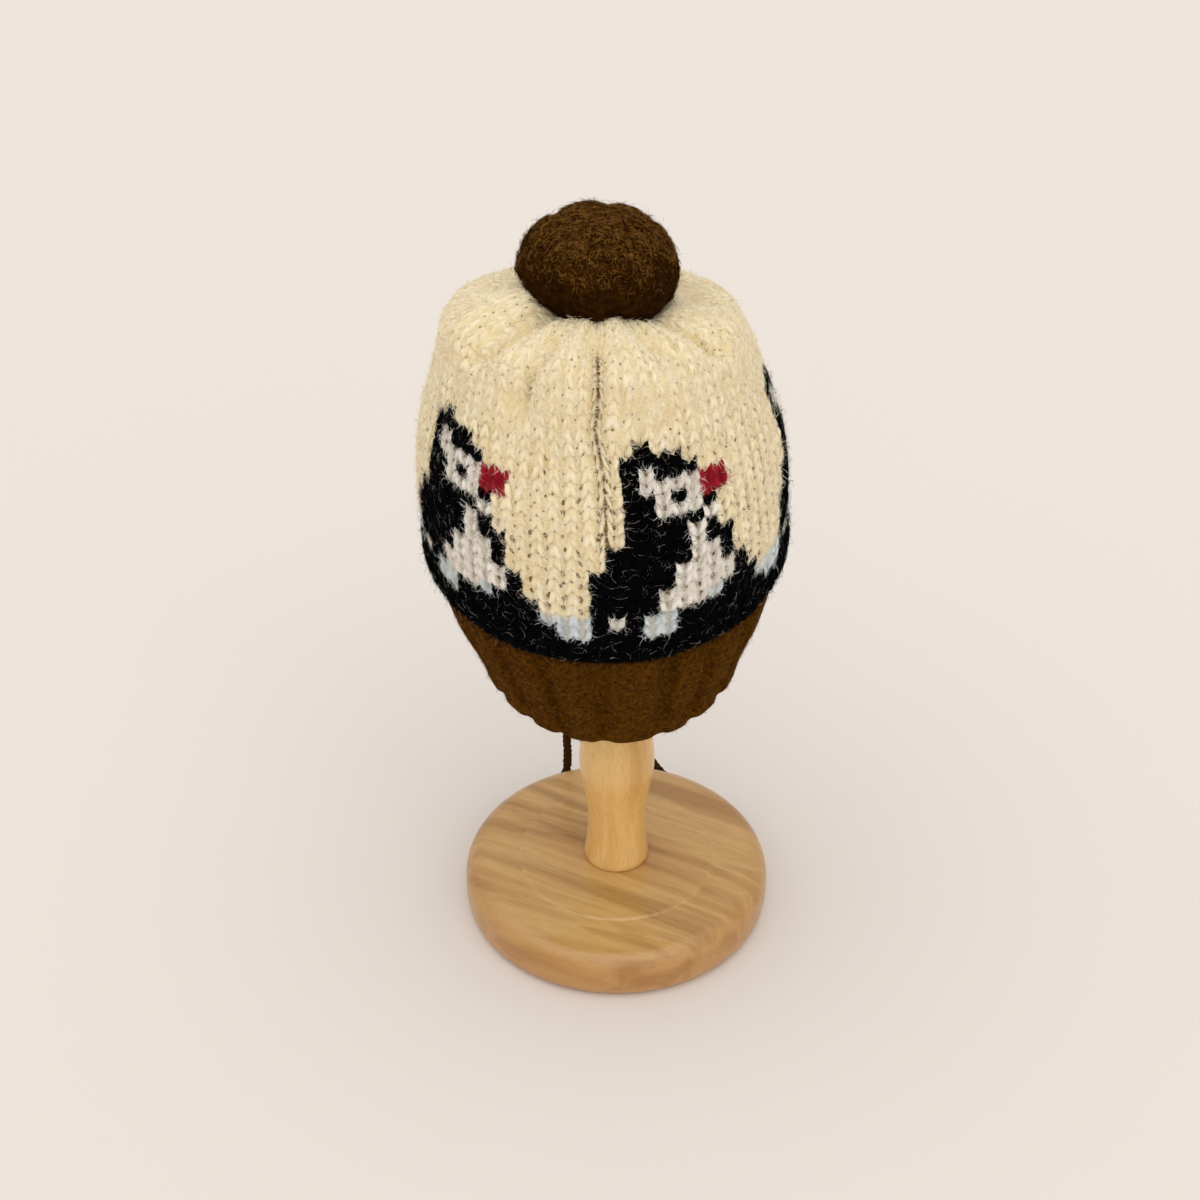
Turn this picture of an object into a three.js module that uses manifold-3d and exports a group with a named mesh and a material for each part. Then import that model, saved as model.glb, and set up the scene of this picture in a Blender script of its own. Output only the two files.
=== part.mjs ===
// Knitted pompom beanie on a turned wooden stand.
// Millimetres, +Z up. The origin is the centre of the stand's underside, and the front faces -Y.
import * as THREE from 'three';
import { mergeVertices } from 'three/addons/utils/BufferGeometryUtils.js';
import Module from 'manifold-3d';

const wasm = await Module();
wasm.setup();

// Driving dimensions
const GAP = 0.3;              // clearance between neighbouring pieces
const CROWN_WALL = 4.5;       // felted stockinette, one layer
const BAND_WALL = 5;          // felted rib
const BASE_DIAMETER = 150;
const BASE_HEIGHT = 26;
const BASE_TURNING = { lowRound: 7, lowRise: 9, highRound: 11, centreRadius: 47.7, step: 1 };
const POST_RADIUS = 14;       // plain upper part of the stem
const STEM_TOP = 268;         // underside of the cap
const FOOT = { radius: 16, taper: 0.4, height: 3 };
const VASE = [                // turned swelling above the foot
  { radius: 14.2, height: 42 },
  { radius: 14.0, height: 54 },
  { radius: 15.8, height: 68 },
  { radius: 18.0, height: 82 },
  { radius: 17.2, height: 97 },
  { radius: POST_RADIUS, height: 115 },
];
const CAP_RADIUS = 42;
const CAP_CROWN = 36.9;       // height of the cap's dome
const TIE_DIAMETER = 4.6;

// Sections of the hat from the rim up to the gather. Each is an oval: radius is its half width and
// its front half depth, back its rear half depth, dip how far the front hangs below the middle
// (the back rises by as much), and shift how far the hat leans sideways.
const HAT_SECTIONS = [
  { height: 155, radius: 59.0, back: 79, dip: 16, shift: -3.0 },
  { height: 170, radius: 63.5, back: 80, dip: 16, shift: -3.7 },
  { height: 190, radius: 71.5, back: 82, dip: 17, shift: -4.6 },
  { height: 214, radius: 77.5, back: 83, dip: 17, shift: -5.6 },
  { height: 230, radius: 79.0, back: 82, dip: 15, shift: -6.4 },
  { height: 250, radius: 78.8, back: 81, dip: 12, shift: -7.2 },
  { height: 271, radius: 75.6, back: 77, dip: 7, shift: -8.0 },
  { height: 291, radius: 69.6, back: 71, dip: 2, shift: -8.6 },
  { height: 306, radius: 65.6, back: 66, dip: 0, shift: -9.0 },
  { height: 317, radius: 61.5, back: 61, dip: 0, shift: -10.0 },
  { height: 322.5, radius: 52.5, back: 52, dip: 0, shift: -9.5 },
  { height: 324, radius: 41.0, back: 41, dip: 0, shift: -9.0 },
  { height: 323, radius: 30.5, back: 30.5, dip: 0, shift: -8.6 },
  { height: 316, radius: 21.5, back: 21.5, dip: 0, shift: -8.3 },
  { height: 310.5, radius: 11.0, back: 11, dip: 0, shift: -8.0 },
  { height: 309, radius: 0.0, back: 0, dip: 0, shift: -8.0 },
];
const JUNCTION = 3;           // row where the crown is knitted onto the band
const GATHER = HAT_SECTIONS.length - 1;

// Gathers that run from the pompom down the crown. at and width are degrees round the hat from the
// front, depth is how far the cloth falls in (below zero it puffs out), reach how far it runs.
const FOLDS = [
  { at: 180, width: 60, depth: 5.0, reach: 130 },
  { at: -170, width: 10, depth: 4.0, reach: 95 },
  { at: -132, width: 9, depth: 5.0, reach: 80 },
  { at: -100, width: 8, depth: 4.0, reach: 75 },
  { at: -50, width: 8, depth: 5.5, reach: 90 },
  { at: -38, width: 7, depth: -2.5, reach: 60 },
  { at: -27, width: 6, depth: 4.0, reach: 120 },
  { at: -14, width: 7, depth: -3.0, reach: 60 },
  { at: -2, width: 5, depth: 3.2, reach: 160 },
  { at: 22, width: 7, depth: 3.5, reach: 85 },
  { at: 49, width: 8, depth: 4.5, reach: 85 },
  { at: 76, width: 32, depth: 4.2, reach: 125 },
  { at: 100, width: 9, depth: 4.0, reach: 90 },
  { at: 134, width: 9, depth: 4.5, reach: 75 },
  { at: 164, width: 8, depth: 3.5, reach: 85 },
];
const FOLD_START = 14;        // a fold begins this far from the gather's centre
const FOLD_FULL = 38;         // and is at its full depth here
const FOLD_FADE = 0.3;        // it starts to fade at this share of its reach

// Two-by-two rib of the band
const RIB_COUNT = 20;
const RIB_PHASE = -4.3;       // degrees from the front to the first groove
const RIB_CROWDING = 5.5;     // degrees by which the ribs draw together at the front
const RIB_DEPTH = 2.2;
const RIB_SCALLOP = 0.7;      // the rim rises this much at each groove
const GROOVE = { flat: 0.05, edge: 0.32 };   // half widths of a groove's floor and mouth, in ribs
const RIM_ROUND = 1;          // the rim's two edges are eased by this much
const BAND_ROWS = [0, 0.12, 1, 2];           // places along the band that get a ring of points

// Felted pompom: an oblate head with shallow locks of wool fused to it
const POMPOM = { x: -8, z: 336, radius: 30, half_height: 23, lean: 4 };
const LOCK_COUNT = 20;
const LOCK_SIZE = { across: 12, tall: 5.5, sunk: 3.7 };
const LOCK_LOWEST = -0.55;    // no lock below this part of the half height, where the ball is sewn on

// Ties: each route runs from the back of the rim down behind the base and along the floor
const TIE_REST = TIE_DIAMETER / 2 + 0.1;      // height of a tie's middle where it lies on the floor
const TIE_ROUTES = {
  left: [
    { x: -24.0, y: 71.4, z: 169.4 },
    { x: -24.0, y: 71.9, z: 157.0 },
    { x: -24.3, y: 73.0, z: 140.0 },
    { x: -24.7, y: 73.9, z: 122.0 },
    { x: -25.0, y: 74.7, z: 104.0 },
    { x: -25.3, y: 75.5, z: 86.0 },
    { x: -25.5, y: 76.2, z: 68.0 },
    { x: -25.6, y: 77.0, z: 50.0 },
    { x: -25.6, y: 77.7, z: 35.0 },
    { x: -25.4, y: 78.2, z: 22.0 },
    { x: -27.2, y: 78.4, z: 11.2 },
    { x: -32.6, y: 76.8, z: 4.6 },
    { x: -39.4, y: 73.4, z: TIE_REST },
    { x: -45.6, y: 69.0, z: TIE_REST },
    { x: -51.0, y: 64.0, z: TIE_REST },
  ],
  right: [
    { x: 1.0, y: 75.4, z: 171.2 },
    { x: 1.0, y: 75.7, z: 157.0 },
    { x: 1.1, y: 76.1, z: 140.0 },
    { x: 1.4, y: 76.4, z: 122.0 },
    { x: 2.0, y: 76.7, z: 104.0 },
    { x: 3.2, y: 77.0, z: 86.0 },
    { x: 5.2, y: 77.4, z: 68.0 },
    { x: 8.4, y: 77.9, z: 51.0 },
    { x: 12.8, y: 78.4, z: 36.0 },
    { x: 18.8, y: 78.8, z: 22.0 },
    { x: 26.2, y: 78.6, z: 11.0 },
    { x: 34.0, y: 76.6, z: 4.5 },
    { x: 41.0, y: 72.9, z: TIE_REST },
    { x: 47.0, y: 68.2, z: TIE_REST },
    { x: 52.0, y: 63.1, z: TIE_REST },
  ],
};
const KNOT = { long: 5.6, across: 4.4 };

// Facets
const CROWN_FACETS = 64;
const CROWN_RINGS = 17;       // from the junction to the gather
const RIB_FACETS = 5;         // across one rib
const TURNED_FACETS = 46;
const POST_FACETS = 26;
const CAP_FACETS = 34;
const CURVE_STEPS = 3;        // along each rounded stretch of a turned outline
const TIE_SIDES = 8;
const TIE_STEPS = 24;

const degrees = THREE.MathUtils.degToRad;
const smoothstep = THREE.MathUtils.smoothstep;

const material = (color, roughness) => new THREE.MeshStandardMaterial({ color, roughness, metalness: 0 });
const CREAM_WOOL = material(0xead6a8, 0.95);
const BROWN_RIB = material(0x5c3d18, 0.95);
const DARK_FELT = material(0x46290f, 1.0);
const BROWN_CORD = material(0x3a2410, 0.95);
const VARNISHED_WOOD = material(0xcfa063, 0.4);

// One smooth section at any place s along the table: a Catmull-Rom curve through each column.
function sectionAt(s) {
  const row = Math.min(Math.floor(s), GATHER - 1);
  const pick = (offset) => HAT_SECTIONS[THREE.MathUtils.clamp(row + offset, 0, GATHER)];
  const t = s - row;
  const blend = (column) => {
    const [a, b, c, d] = [pick(-1)[column], pick(0)[column], pick(1)[column], pick(2)[column]];
    const tangentIn = (c - a) / 2;
    const tangentOut = (d - b) / 2;
    const cubic = 2 * b - 2 * c + tangentIn + tangentOut;
    const square = 3 * c - 3 * b - 2 * tangentIn - tangentOut;
    return ((cubic * t + square) * t + tangentIn) * t + b;
  };
  return {
    height: blend('height'), radius: Math.max(blend('radius'), 0), back: Math.max(blend('back'), 0),
    dip: blend('dip'), shift: blend('shift'),
  };
}

// A point of the smooth hat. angle is measured round the hat from the front, towards +X.
function hatPoint(s, angle) {
  const { height, radius, back, dip, shift } = sectionAt(s);
  const depth = Math.cos(angle) > 0 ? radius : back;
  return new THREE.Vector3(
    shift + radius * Math.sin(angle), -depth * Math.cos(angle), height - dip * Math.cos(angle));
}

// The outward normal of the smooth hat, straight up at the gather.
function hatNormal(s, angle) {
  const step = 0.02;
  if (s > GATHER - step) return new THREE.Vector3(0, 0, 1);
  const along = hatPoint(s + step, angle).sub(hatPoint(Math.max(s - step, 0), angle));
  const around = hatPoint(s, angle + step).sub(hatPoint(s, angle - step));
  return around.cross(along).normalize();
}

// The signed distance between two directions round the hat, in degrees.
function turnBetween(angle, at) {
  const turn = THREE.MathUtils.radToDeg(angle) - at;
  return turn - 360 * Math.round(turn / 360);
}

// How far along the cloth a place on the table lies from the gather's centre.
const clothLength = (() => {
  const stepsPerRow = 8;
  const lengths = [0];
  for (let i = GATHER * stepsPerRow; i > 0; i -= 1) {
    const above = hatPoint(i / stepsPerRow, Math.PI / 2);
    const below = hatPoint((i - 1) / stepsPerRow, Math.PI / 2);
    lengths.push(lengths[lengths.length - 1] + above.distanceTo(below));
  }
  return (s) => {
    const place = (GATHER - s) * stepsPerRow;
    const low = Math.min(Math.floor(place), lengths.length - 2);
    return THREE.MathUtils.lerp(lengths[low], lengths[low + 1], place - low);
  };
})();

// How far the gathers draw the crown in at one place.
function foldDepth(s, angle) {
  const distance = clothLength(s);
  const start = smoothstep(distance, FOLD_START, FOLD_FULL);
  return FOLDS.reduce((sum, { at, width, depth, reach }) => {
    const across = Math.exp(-((turnBetween(angle, at) / width) ** 2));
    const down = 1 - smoothstep(distance, reach * FOLD_FADE, reach);
    return sum + depth * across * down * start;
  }, 0);
}

// The direction of a place on the rib, counted in ribs: they stand closer together at the front.
function ribAngle(rib) {
  const even = degrees((360 / RIB_COUNT) * rib);
  return even + degrees(RIB_PHASE) - degrees(RIB_CROWDING) * Math.sin(even);
}

// 1 in the groove between two ribs, 0 on the rib's flat.
function groove(rib) {
  const off = Math.abs(rib - Math.round(rib));
  return 1 - smoothstep(off, GROOVE.flat, GROOVE.edge);
}

// A closed solid through rings of points, each joined to the next. A ring of one point is a pole.
// With no poles the last ring joins the first, which makes a hollow wall.
function solidThroughRings(rings) {
  const positions = [];
  const indices = [];
  const starts = rings.map((ring) => {
    const start = positions.length / 3;
    ring.forEach((point) => positions.push(point.x, point.y, point.z));
    return start;
  });
  const closed = rings[0].length > 1;
  const joins = closed ? rings.length : rings.length - 1;
  for (let i = 0; i < joins; i += 1) {
    const j = (i + 1) % rings.length;
    const count = Math.max(rings[i].length, rings[j].length);
    const corner = (ring, k) => starts[ring] + (rings[ring].length > 1 ? k % count : 0);
    for (let k = 0; k < count; k += 1) {
      if (rings[i].length > 1) indices.push(corner(i, k), corner(i, k + 1), corner(j, k));
      if (rings[j].length > 1) indices.push(corner(i, k + 1), corner(j, k + 1), corner(j, k));
    }
  }
  const geometry = new THREE.BufferGeometry();
  geometry.setAttribute('position', new THREE.Float32BufferAttribute(positions, 3));
  geometry.setIndex(indices);
  geometry.computeVertexNormals();
  return geometry;
}

// The crown: down its inside from the gather, round the edge at the junction and up its outside.
function crownGeometry() {
  const places = Array.from(
    { length: CROWN_RINGS + 1 }, (_, i) => JUNCTION + ((GATHER - JUNCTION) * i) / CROWN_RINGS);
  const ringAt = (s, inset) => {
    if (s === GATHER) return [hatPoint(s, 0).addScaledVector(hatNormal(s, 0), -inset)];
    return Array.from({ length: CROWN_FACETS }, (_, k) => {
      const angle = (2 * Math.PI * k) / CROWN_FACETS;
      return hatPoint(s, angle).addScaledVector(hatNormal(s, angle), -inset - foldDepth(s, angle));
    });
  };
  const inside = places.map((s) => ringAt(s, CROWN_WALL)).reverse();
  const outside = places.map((s) => ringAt(s, 0));
  return solidThroughRings([...inside, ...outside]);
}

// The ribbed band: its outside from the rim up to the junction, then its inside back down.
function bandGeometry() {
  const top = JUNCTION - GAP / (HAT_SECTIONS[JUNCTION].height - HAT_SECTIONS[JUNCTION - 1].height);
  const places = [...BAND_ROWS, top];
  const ringAt = (s, outside) => Array.from({ length: RIB_COUNT * RIB_FACETS }, (_, k) => {
    const rib = k / RIB_FACETS;
    const angle = ribAngle(rib);
    const hollow = groove(rib);
    const eased = s === 0 ? RIM_ROUND : 0;
    const inset = outside ? RIB_DEPTH * hollow + eased : BAND_WALL - eased;
    const point = hatPoint(s, angle).addScaledVector(hatNormal(s, angle), -inset);
    if (s === 0) point.z += RIB_SCALLOP * hollow;
    return point;
  });
  const outside = places.map((s) => ringAt(s, true));
  const inside = places.map((s) => ringAt(s, false)).reverse();
  return solidThroughRings([...outside, ...inside]);
}

// A closed geometry as a solid that can be joined to others.
function toSolid(geometry) {
  const bare = geometry.clone();
  bare.deleteAttribute('normal');
  bare.deleteAttribute('uv');
  const merged = mergeVertices(bare, 1e-4);
  return new wasm.Manifold(new wasm.Mesh({
    numProp: 3,
    vertProperties: new Float32Array(merged.attributes.position.array),
    triVerts: new Uint32Array(merged.index.array),
  }));
}

// A joined solid back as a geometry.
function toGeometry(solid) {
  const mesh = solid.getMesh();
  const geometry = new THREE.BufferGeometry();
  geometry.setAttribute('position', new THREE.Float32BufferAttribute(mesh.vertProperties, 3));
  geometry.setIndex(Array.from(mesh.triVerts));
  geometry.computeVertexNormals();
  return geometry;
}

// The pompom: locks of wool spread evenly over an oblate head and fused to it.
function pompomGeometry() {
  const { x, z, radius, half_height: halfHeight, lean } = POMPOM;
  const head = new THREE.IcosahedronGeometry(1, 2).scale(radius, radius, halfHeight);
  let solid = toSolid(head);
  const goldenTurn = Math.PI * (3 - Math.sqrt(5));
  for (let i = 0; i < LOCK_COUNT; i += 1) {
    const up = 1 - ((i + 0.5) / LOCK_COUNT) * (1 - LOCK_LOWEST);
    const ring = Math.sqrt(1 - up * up);
    const turn = i * goldenTurn;
    const seat = new THREE.Vector3(
      radius * ring * Math.cos(turn), radius * ring * Math.sin(turn), halfHeight * up);
    const outward = new THREE.Vector3(
      seat.x / radius ** 2, seat.y / radius ** 2, seat.z / halfHeight ** 2).normalize();
    const lock = new THREE.IcosahedronGeometry(1, 1);
    lock.scale(LOCK_SIZE.across, LOCK_SIZE.across, LOCK_SIZE.tall);
    lock.applyQuaternion(new THREE.Quaternion().setFromUnitVectors(new THREE.Vector3(0, 0, 1), outward));
    seat.addScaledVector(outward, -LOCK_SIZE.sunk);
    solid = solid.add(toSolid(lock.translate(seat.x, seat.y, seat.z)));
  }
  return toGeometry(solid).rotateY(degrees(lean)).translate(x, 0, z);
}

// A turned piece: the outline runs from the axis at the bottom to the axis at the top.
function turnedGeometry(outline, facets) {
  return new THREE.LatheGeometry(outline.getPoints(CURVE_STEPS), facets).rotateX(Math.PI / 2);
}

// The base: a disc with a rounded edge and a shallow raised centre.
function baseGeometry() {
  const radius = BASE_DIAMETER / 2;
  const { lowRound, lowRise, highRound, centreRadius, step } = BASE_TURNING;
  const rim = BASE_HEIGHT - step;
  const outline = new THREE.Path().moveTo(0, 0).lineTo(radius - lowRound, 0);
  outline.quadraticCurveTo(radius, 0, radius, lowRise);
  outline.lineTo(radius, rim - highRound);
  outline.quadraticCurveTo(radius, rim, radius - highRound, rim);
  outline.lineTo(centreRadius + step, rim).lineTo(centreRadius, BASE_HEIGHT).lineTo(0, BASE_HEIGHT);
  return turnedGeometry(outline, TURNED_FACETS);
}

// The stem: a small foot, a slim waist, a vase-shaped swelling and a plain post up to the cap.
function stemGeometry() {
  const foot = BASE_HEIGHT + GAP;
  const outline = new THREE.Path().moveTo(0, foot).lineTo(FOOT.radius, foot);
  outline.lineTo(FOOT.radius - FOOT.taper, foot + FOOT.height);
  outline.splineThru(VASE.map(({ radius, height }) => new THREE.Vector2(radius, height)));
  outline.lineTo(POST_RADIUS, STEM_TOP - GAP).lineTo(0, STEM_TOP - GAP);
  return turnedGeometry(outline, POST_FACETS);
}

// The cap: a plain dome that the gather of the hat rests on.
function capGeometry() {
  const edge = 6;
  const shoulder = CAP_RADIUS * 0.6;
  const top = STEM_TOP + CAP_CROWN;
  const outline = new THREE.Path().moveTo(0, STEM_TOP).lineTo(CAP_RADIUS - edge, STEM_TOP);
  outline.quadraticCurveTo(CAP_RADIUS, STEM_TOP, CAP_RADIUS, STEM_TOP + edge);
  outline.bezierCurveTo(CAP_RADIUS, top - edge, shoulder, top, 0, top);
  return turnedGeometry(outline, CAP_FACETS);
}

// A tie: a round cord along its route.
function tieGeometry(route) {
  const stations = route.map(({ x, y, z }) => new THREE.Vector3(x, y, z));
  const path = new THREE.CatmullRomCurve3(stations, false, 'centripetal');
  const section = new THREE.Shape();
  for (let k = 0; k <= TIE_SIDES; k += 1) {
    const turn = (2 * Math.PI * k) / TIE_SIDES;
    const corner = [(TIE_DIAMETER / 2) * Math.cos(turn), (TIE_DIAMETER / 2) * Math.sin(turn)];
    if (k === 0) section.moveTo(...corner);
    else section.lineTo(...corner);
  }
  return new THREE.ExtrudeGeometry(section, { steps: TIE_STEPS, extrudePath: path });
}

// The knot at a tie's end, just past the end of its route and lying on the floor.
function knotGeometry(route) {
  const [before, last] = route.slice(-2);
  const end = new THREE.Vector3(last.x, last.y, last.z);
  const along = new THREE.Vector3(last.x - before.x, last.y - before.y, 0).normalize();
  const knot = new THREE.IcosahedronGeometry(1, 1).scale(KNOT.long, KNOT.across, KNOT.across);
  knot.rotateZ(Math.atan2(along.y, along.x));
  const seat = end.addScaledVector(along, KNOT.long + GAP);
  return knot.translate(seat.x, seat.y, KNOT.across);
}

function piece(name, geometry, finish) {
  const mesh = new THREE.Mesh(geometry, finish);
  mesh.name = name;
  return mesh;
}

const beanie = new THREE.Group();
beanie.name = 'beanie_on_stand';

const hat = new THREE.Group();
hat.add(piece('crown', crownGeometry(), CREAM_WOOL));
hat.add(piece('ribbed_band', bandGeometry(), BROWN_RIB));
hat.add(piece('pompom', pompomGeometry(), DARK_FELT));
for (const [side, route] of Object.entries(TIE_ROUTES)) {
  hat.add(piece(`tie_${side}`, tieGeometry(route), BROWN_CORD));
  hat.add(piece(`tie_knot_${side}`, knotGeometry(route), BROWN_CORD));
}

const stand = new THREE.Group();
stand.add(piece('stand_base', baseGeometry(), VARNISHED_WOOD));
stand.add(piece('stand_stem', stemGeometry(), VARNISHED_WOOD));
stand.add(piece('stand_cap', capGeometry(), VARNISHED_WOOD));

beanie.add(hat, stand);

export default beanie;
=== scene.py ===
"""Looks of a knitted pompom beanie on a turned wooden stand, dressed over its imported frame.

Sizes in the tables and dataclasses are millimetres. Meshes are turned to metres when they are made.
Directions round the hat are degrees from the front (-Y) towards +X.
"""

from __future__ import annotations

import logging
import math
from dataclasses import dataclass, field
from enum import Enum
from typing import Any, Iterable, Protocol, Sequence

import bpy
import numpy as np
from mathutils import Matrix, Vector, noise


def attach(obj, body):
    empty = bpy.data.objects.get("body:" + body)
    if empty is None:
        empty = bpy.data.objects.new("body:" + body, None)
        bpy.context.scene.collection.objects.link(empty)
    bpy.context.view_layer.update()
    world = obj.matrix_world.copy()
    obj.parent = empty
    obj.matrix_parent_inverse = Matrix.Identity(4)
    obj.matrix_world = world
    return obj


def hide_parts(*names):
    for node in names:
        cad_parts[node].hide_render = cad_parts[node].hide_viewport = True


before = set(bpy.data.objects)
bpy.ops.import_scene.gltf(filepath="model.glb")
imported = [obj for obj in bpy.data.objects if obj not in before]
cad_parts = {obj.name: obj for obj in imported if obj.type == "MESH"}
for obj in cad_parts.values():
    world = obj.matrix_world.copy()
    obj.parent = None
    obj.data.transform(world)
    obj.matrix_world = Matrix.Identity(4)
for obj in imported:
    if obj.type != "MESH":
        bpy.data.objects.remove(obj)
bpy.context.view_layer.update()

LOG = logging.getLogger("beanie")
MM = 0.001
BODY = "root"
Array = np.ndarray


def linear_colour(hex_code: str) -> tuple[float, float, float, float]:
    """Turns an sRGB colour to linear light.

    Args:
        hex_code: Six hexadecimal digits, such as "e9e0d7".

    Returns:
        Red, green, blue and an alpha of 1.
    """
    values = [int(hex_code[i:i + 2], 16) / 255 for i in (0, 2, 4)]
    red, green, blue = [v / 12.92 if v <= 0.04045 else ((v + 0.055) / 1.055) ** 2.4 for v in values]
    return red, green, blue, 1.0


def per_metre(size: float) -> float:
    """The texture scale that gives features of this size in millimetres."""
    return 1 / (size * MM)


def smoothstep(value: Array, low: float, high: float) -> Array:
    """A smooth step from 0 at low to 1 at high."""
    t = np.clip((value - low) / (high - low), 0, 1)
    return t * t * (3 - 2 * t)


def unit(vectors: Array) -> Array:
    """The same vectors at length 1."""
    return vectors / np.maximum(np.linalg.norm(vectors, axis=-1, keepdims=True), 1e-9)


def add_node(
    tree: bpy.types.NodeTree, kind: str, inputs: dict[str | int, Any] | None = None, **settings: Any
) -> bpy.types.Node:
    """Adds one shader node.

    Args:
        tree: The material's node tree.
        kind: Blender's name for the node.
        inputs: For each socket a value, or the output socket that feeds it.
        settings: The node's own properties.

    Returns:
        The new node.
    """
    node = tree.nodes.new(kind)
    for key, value in settings.items():
        setattr(node, key, value)
    for key, value in (inputs or {}).items():
        if isinstance(value, bpy.types.NodeSocket):
            tree.links.new(value, node.inputs[key])
        else:
            node.inputs[key].default_value = value
    return node


def empty_material(name: str) -> tuple[bpy.types.Material, bpy.types.NodeTree]:
    """Starts a material that has no nodes yet.

    Args:
        name: The material's name.

    Returns:
        The material and its node tree.
    """
    made = bpy.data.materials.new(name)
    made.use_nodes = True
    made.node_tree.nodes.clear()
    return made, made.node_tree


def add_to_scene(thing: bpy.types.Object) -> None:
    """Puts an object in the scene."""
    bpy.context.scene.collection.objects.link(thing)


def set_ramp(node: bpy.types.Node, stops: Sequence[tuple[float, str]]) -> None:
    """Gives a colour ramp its stops.

    Args:
        node: A colour ramp node.
        stops: Place and sRGB colour of each stop, in order.
    """
    elements = node.color_ramp.elements
    while len(elements) < len(stops):
        elements.new(1.0)
    for element, (place, hex_code) in zip(elements, stops):
        element.position = place
        element.color = linear_colour(hex_code)


@dataclass
class Shell:
    """Points and faces of a mesh in the making, in millimetres."""

    points: Array
    quads: Array = field(default_factory=lambda: np.zeros((0, 4), int))
    triangles: Array = field(default_factory=lambda: np.zeros((0, 3), int))

    @classmethod
    def joined(cls, shells: Iterable[Shell]) -> Shell:
        """Several shells as one mesh.

        Args:
            shells: The shells to join.

        Returns:
            One shell that holds them all.
        """
        points, quads, triangles, start = [], [], [], 0
        for shell in shells:
            points.append(shell.points)
            quads.append(shell.quads + start)
            triangles.append(shell.triangles + start)
            start += len(shell.points)
        return cls(np.concatenate(points), np.concatenate(quads), np.concatenate(triangles))

    @classmethod
    def copies(cls, template: Shell, points: Array) -> Shell:
        """Many copies of a template, each with points of its own.

        Args:
            template: The faces to repeat.
            points: One row of points for each copy.

        Returns:
            The copies as one shell.
        """
        starts = np.arange(len(points))[:, None, None] * len(template.points)
        return cls(
            points.reshape(-1, 3),
            (template.quads[None] + starts).reshape(-1, 4),
            (template.triangles[None] + starts).reshape(-1, 3),
        )

    @classmethod
    def grid(cls, points: Array, closed: bool = False) -> Shell:
        """A net of quads through rings of points.

        Args:
            points: Rings, points round each ring, and three coordinates.
            closed: Whether the last ring joins the first.

        Returns:
            The net, closed round each ring.
        """
        rings, count = points.shape[:2]
        ring = np.arange(rings if closed else rings - 1)[:, None]
        place = np.arange(count)[None]
        after, beside = (ring + 1) % rings, (place + 1) % count
        low, high = ring * count, after * count
        corners = [low + place, low + beside, high + beside, high + place]
        return cls(points.reshape(-1, 3), np.stack(corners, axis=-1).reshape(-1, 4))

    def capped(self, first: Array, last: Array, count: int) -> Shell:
        """Closes both ends of a net of rings.

        Args:
            first: The point that closes the first ring.
            last: The point that closes the last ring.
            count: Points round each ring.

        Returns:
            The closed shell, with those two points at its end.
        """
        total = len(self.points)
        place = np.arange(count)
        beside = (place + 1) % count
        top = total - count
        bottom_cap = np.stack([np.full(count, total), beside, place], axis=1)
        top_cap = np.stack([np.full(count, total + 1), top + place, top + beside], axis=1)
        points = np.concatenate([self.points, [first, last]])
        return Shell(points, self.quads, np.concatenate([bottom_cap, top_cap]))

    def triangle_count(self) -> int:
        """How many triangles the faces make."""
        return 2 * len(self.quads) + len(self.triangles)


def make_piece(
    name: str, shell: Shell, finish: bpy.types.Material,
    stands_for: Sequence[str] = (),
) -> bpy.types.Object:
    """Makes a mesh object that rides on the part's body.

    Args:
        name: The piece's name.
        shell: Its points and faces.
        finish: Its material.
        stands_for: CAD nodes that it replaces.

    Returns:
        The new object.
    """
    corners = np.concatenate([shell.quads.ravel(), shell.triangles.ravel()]).astype(np.int32)
    sizes = np.concatenate([np.full(len(shell.quads), 4), np.full(len(shell.triangles), 3)])
    starts = np.concatenate([[0], np.cumsum(sizes)[:-1]]).astype(np.int32)
    mesh = bpy.data.meshes.new(name)
    mesh.vertices.add(len(shell.points))
    mesh.vertices.foreach_set("co", (shell.points * MM).astype(np.float32).ravel())
    mesh.loops.add(len(corners))
    mesh.loops.foreach_set("vertex_index", corners)
    mesh.polygons.add(len(starts))
    mesh.polygons.foreach_set("loop_start", starts)
    mesh.polygons.foreach_set("use_smooth", np.ones(len(starts), bool))
    mesh.update(calc_edges=True)
    mesh.validate()
    mesh.materials.append(finish)
    piece = bpy.data.objects.new(name, mesh)
    add_to_scene(piece)
    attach(piece, BODY)
    if stands_for:
        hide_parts(*stands_for)
    LOG.info("%s: %d triangles", name, shell.triangle_count())
    return piece


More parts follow.
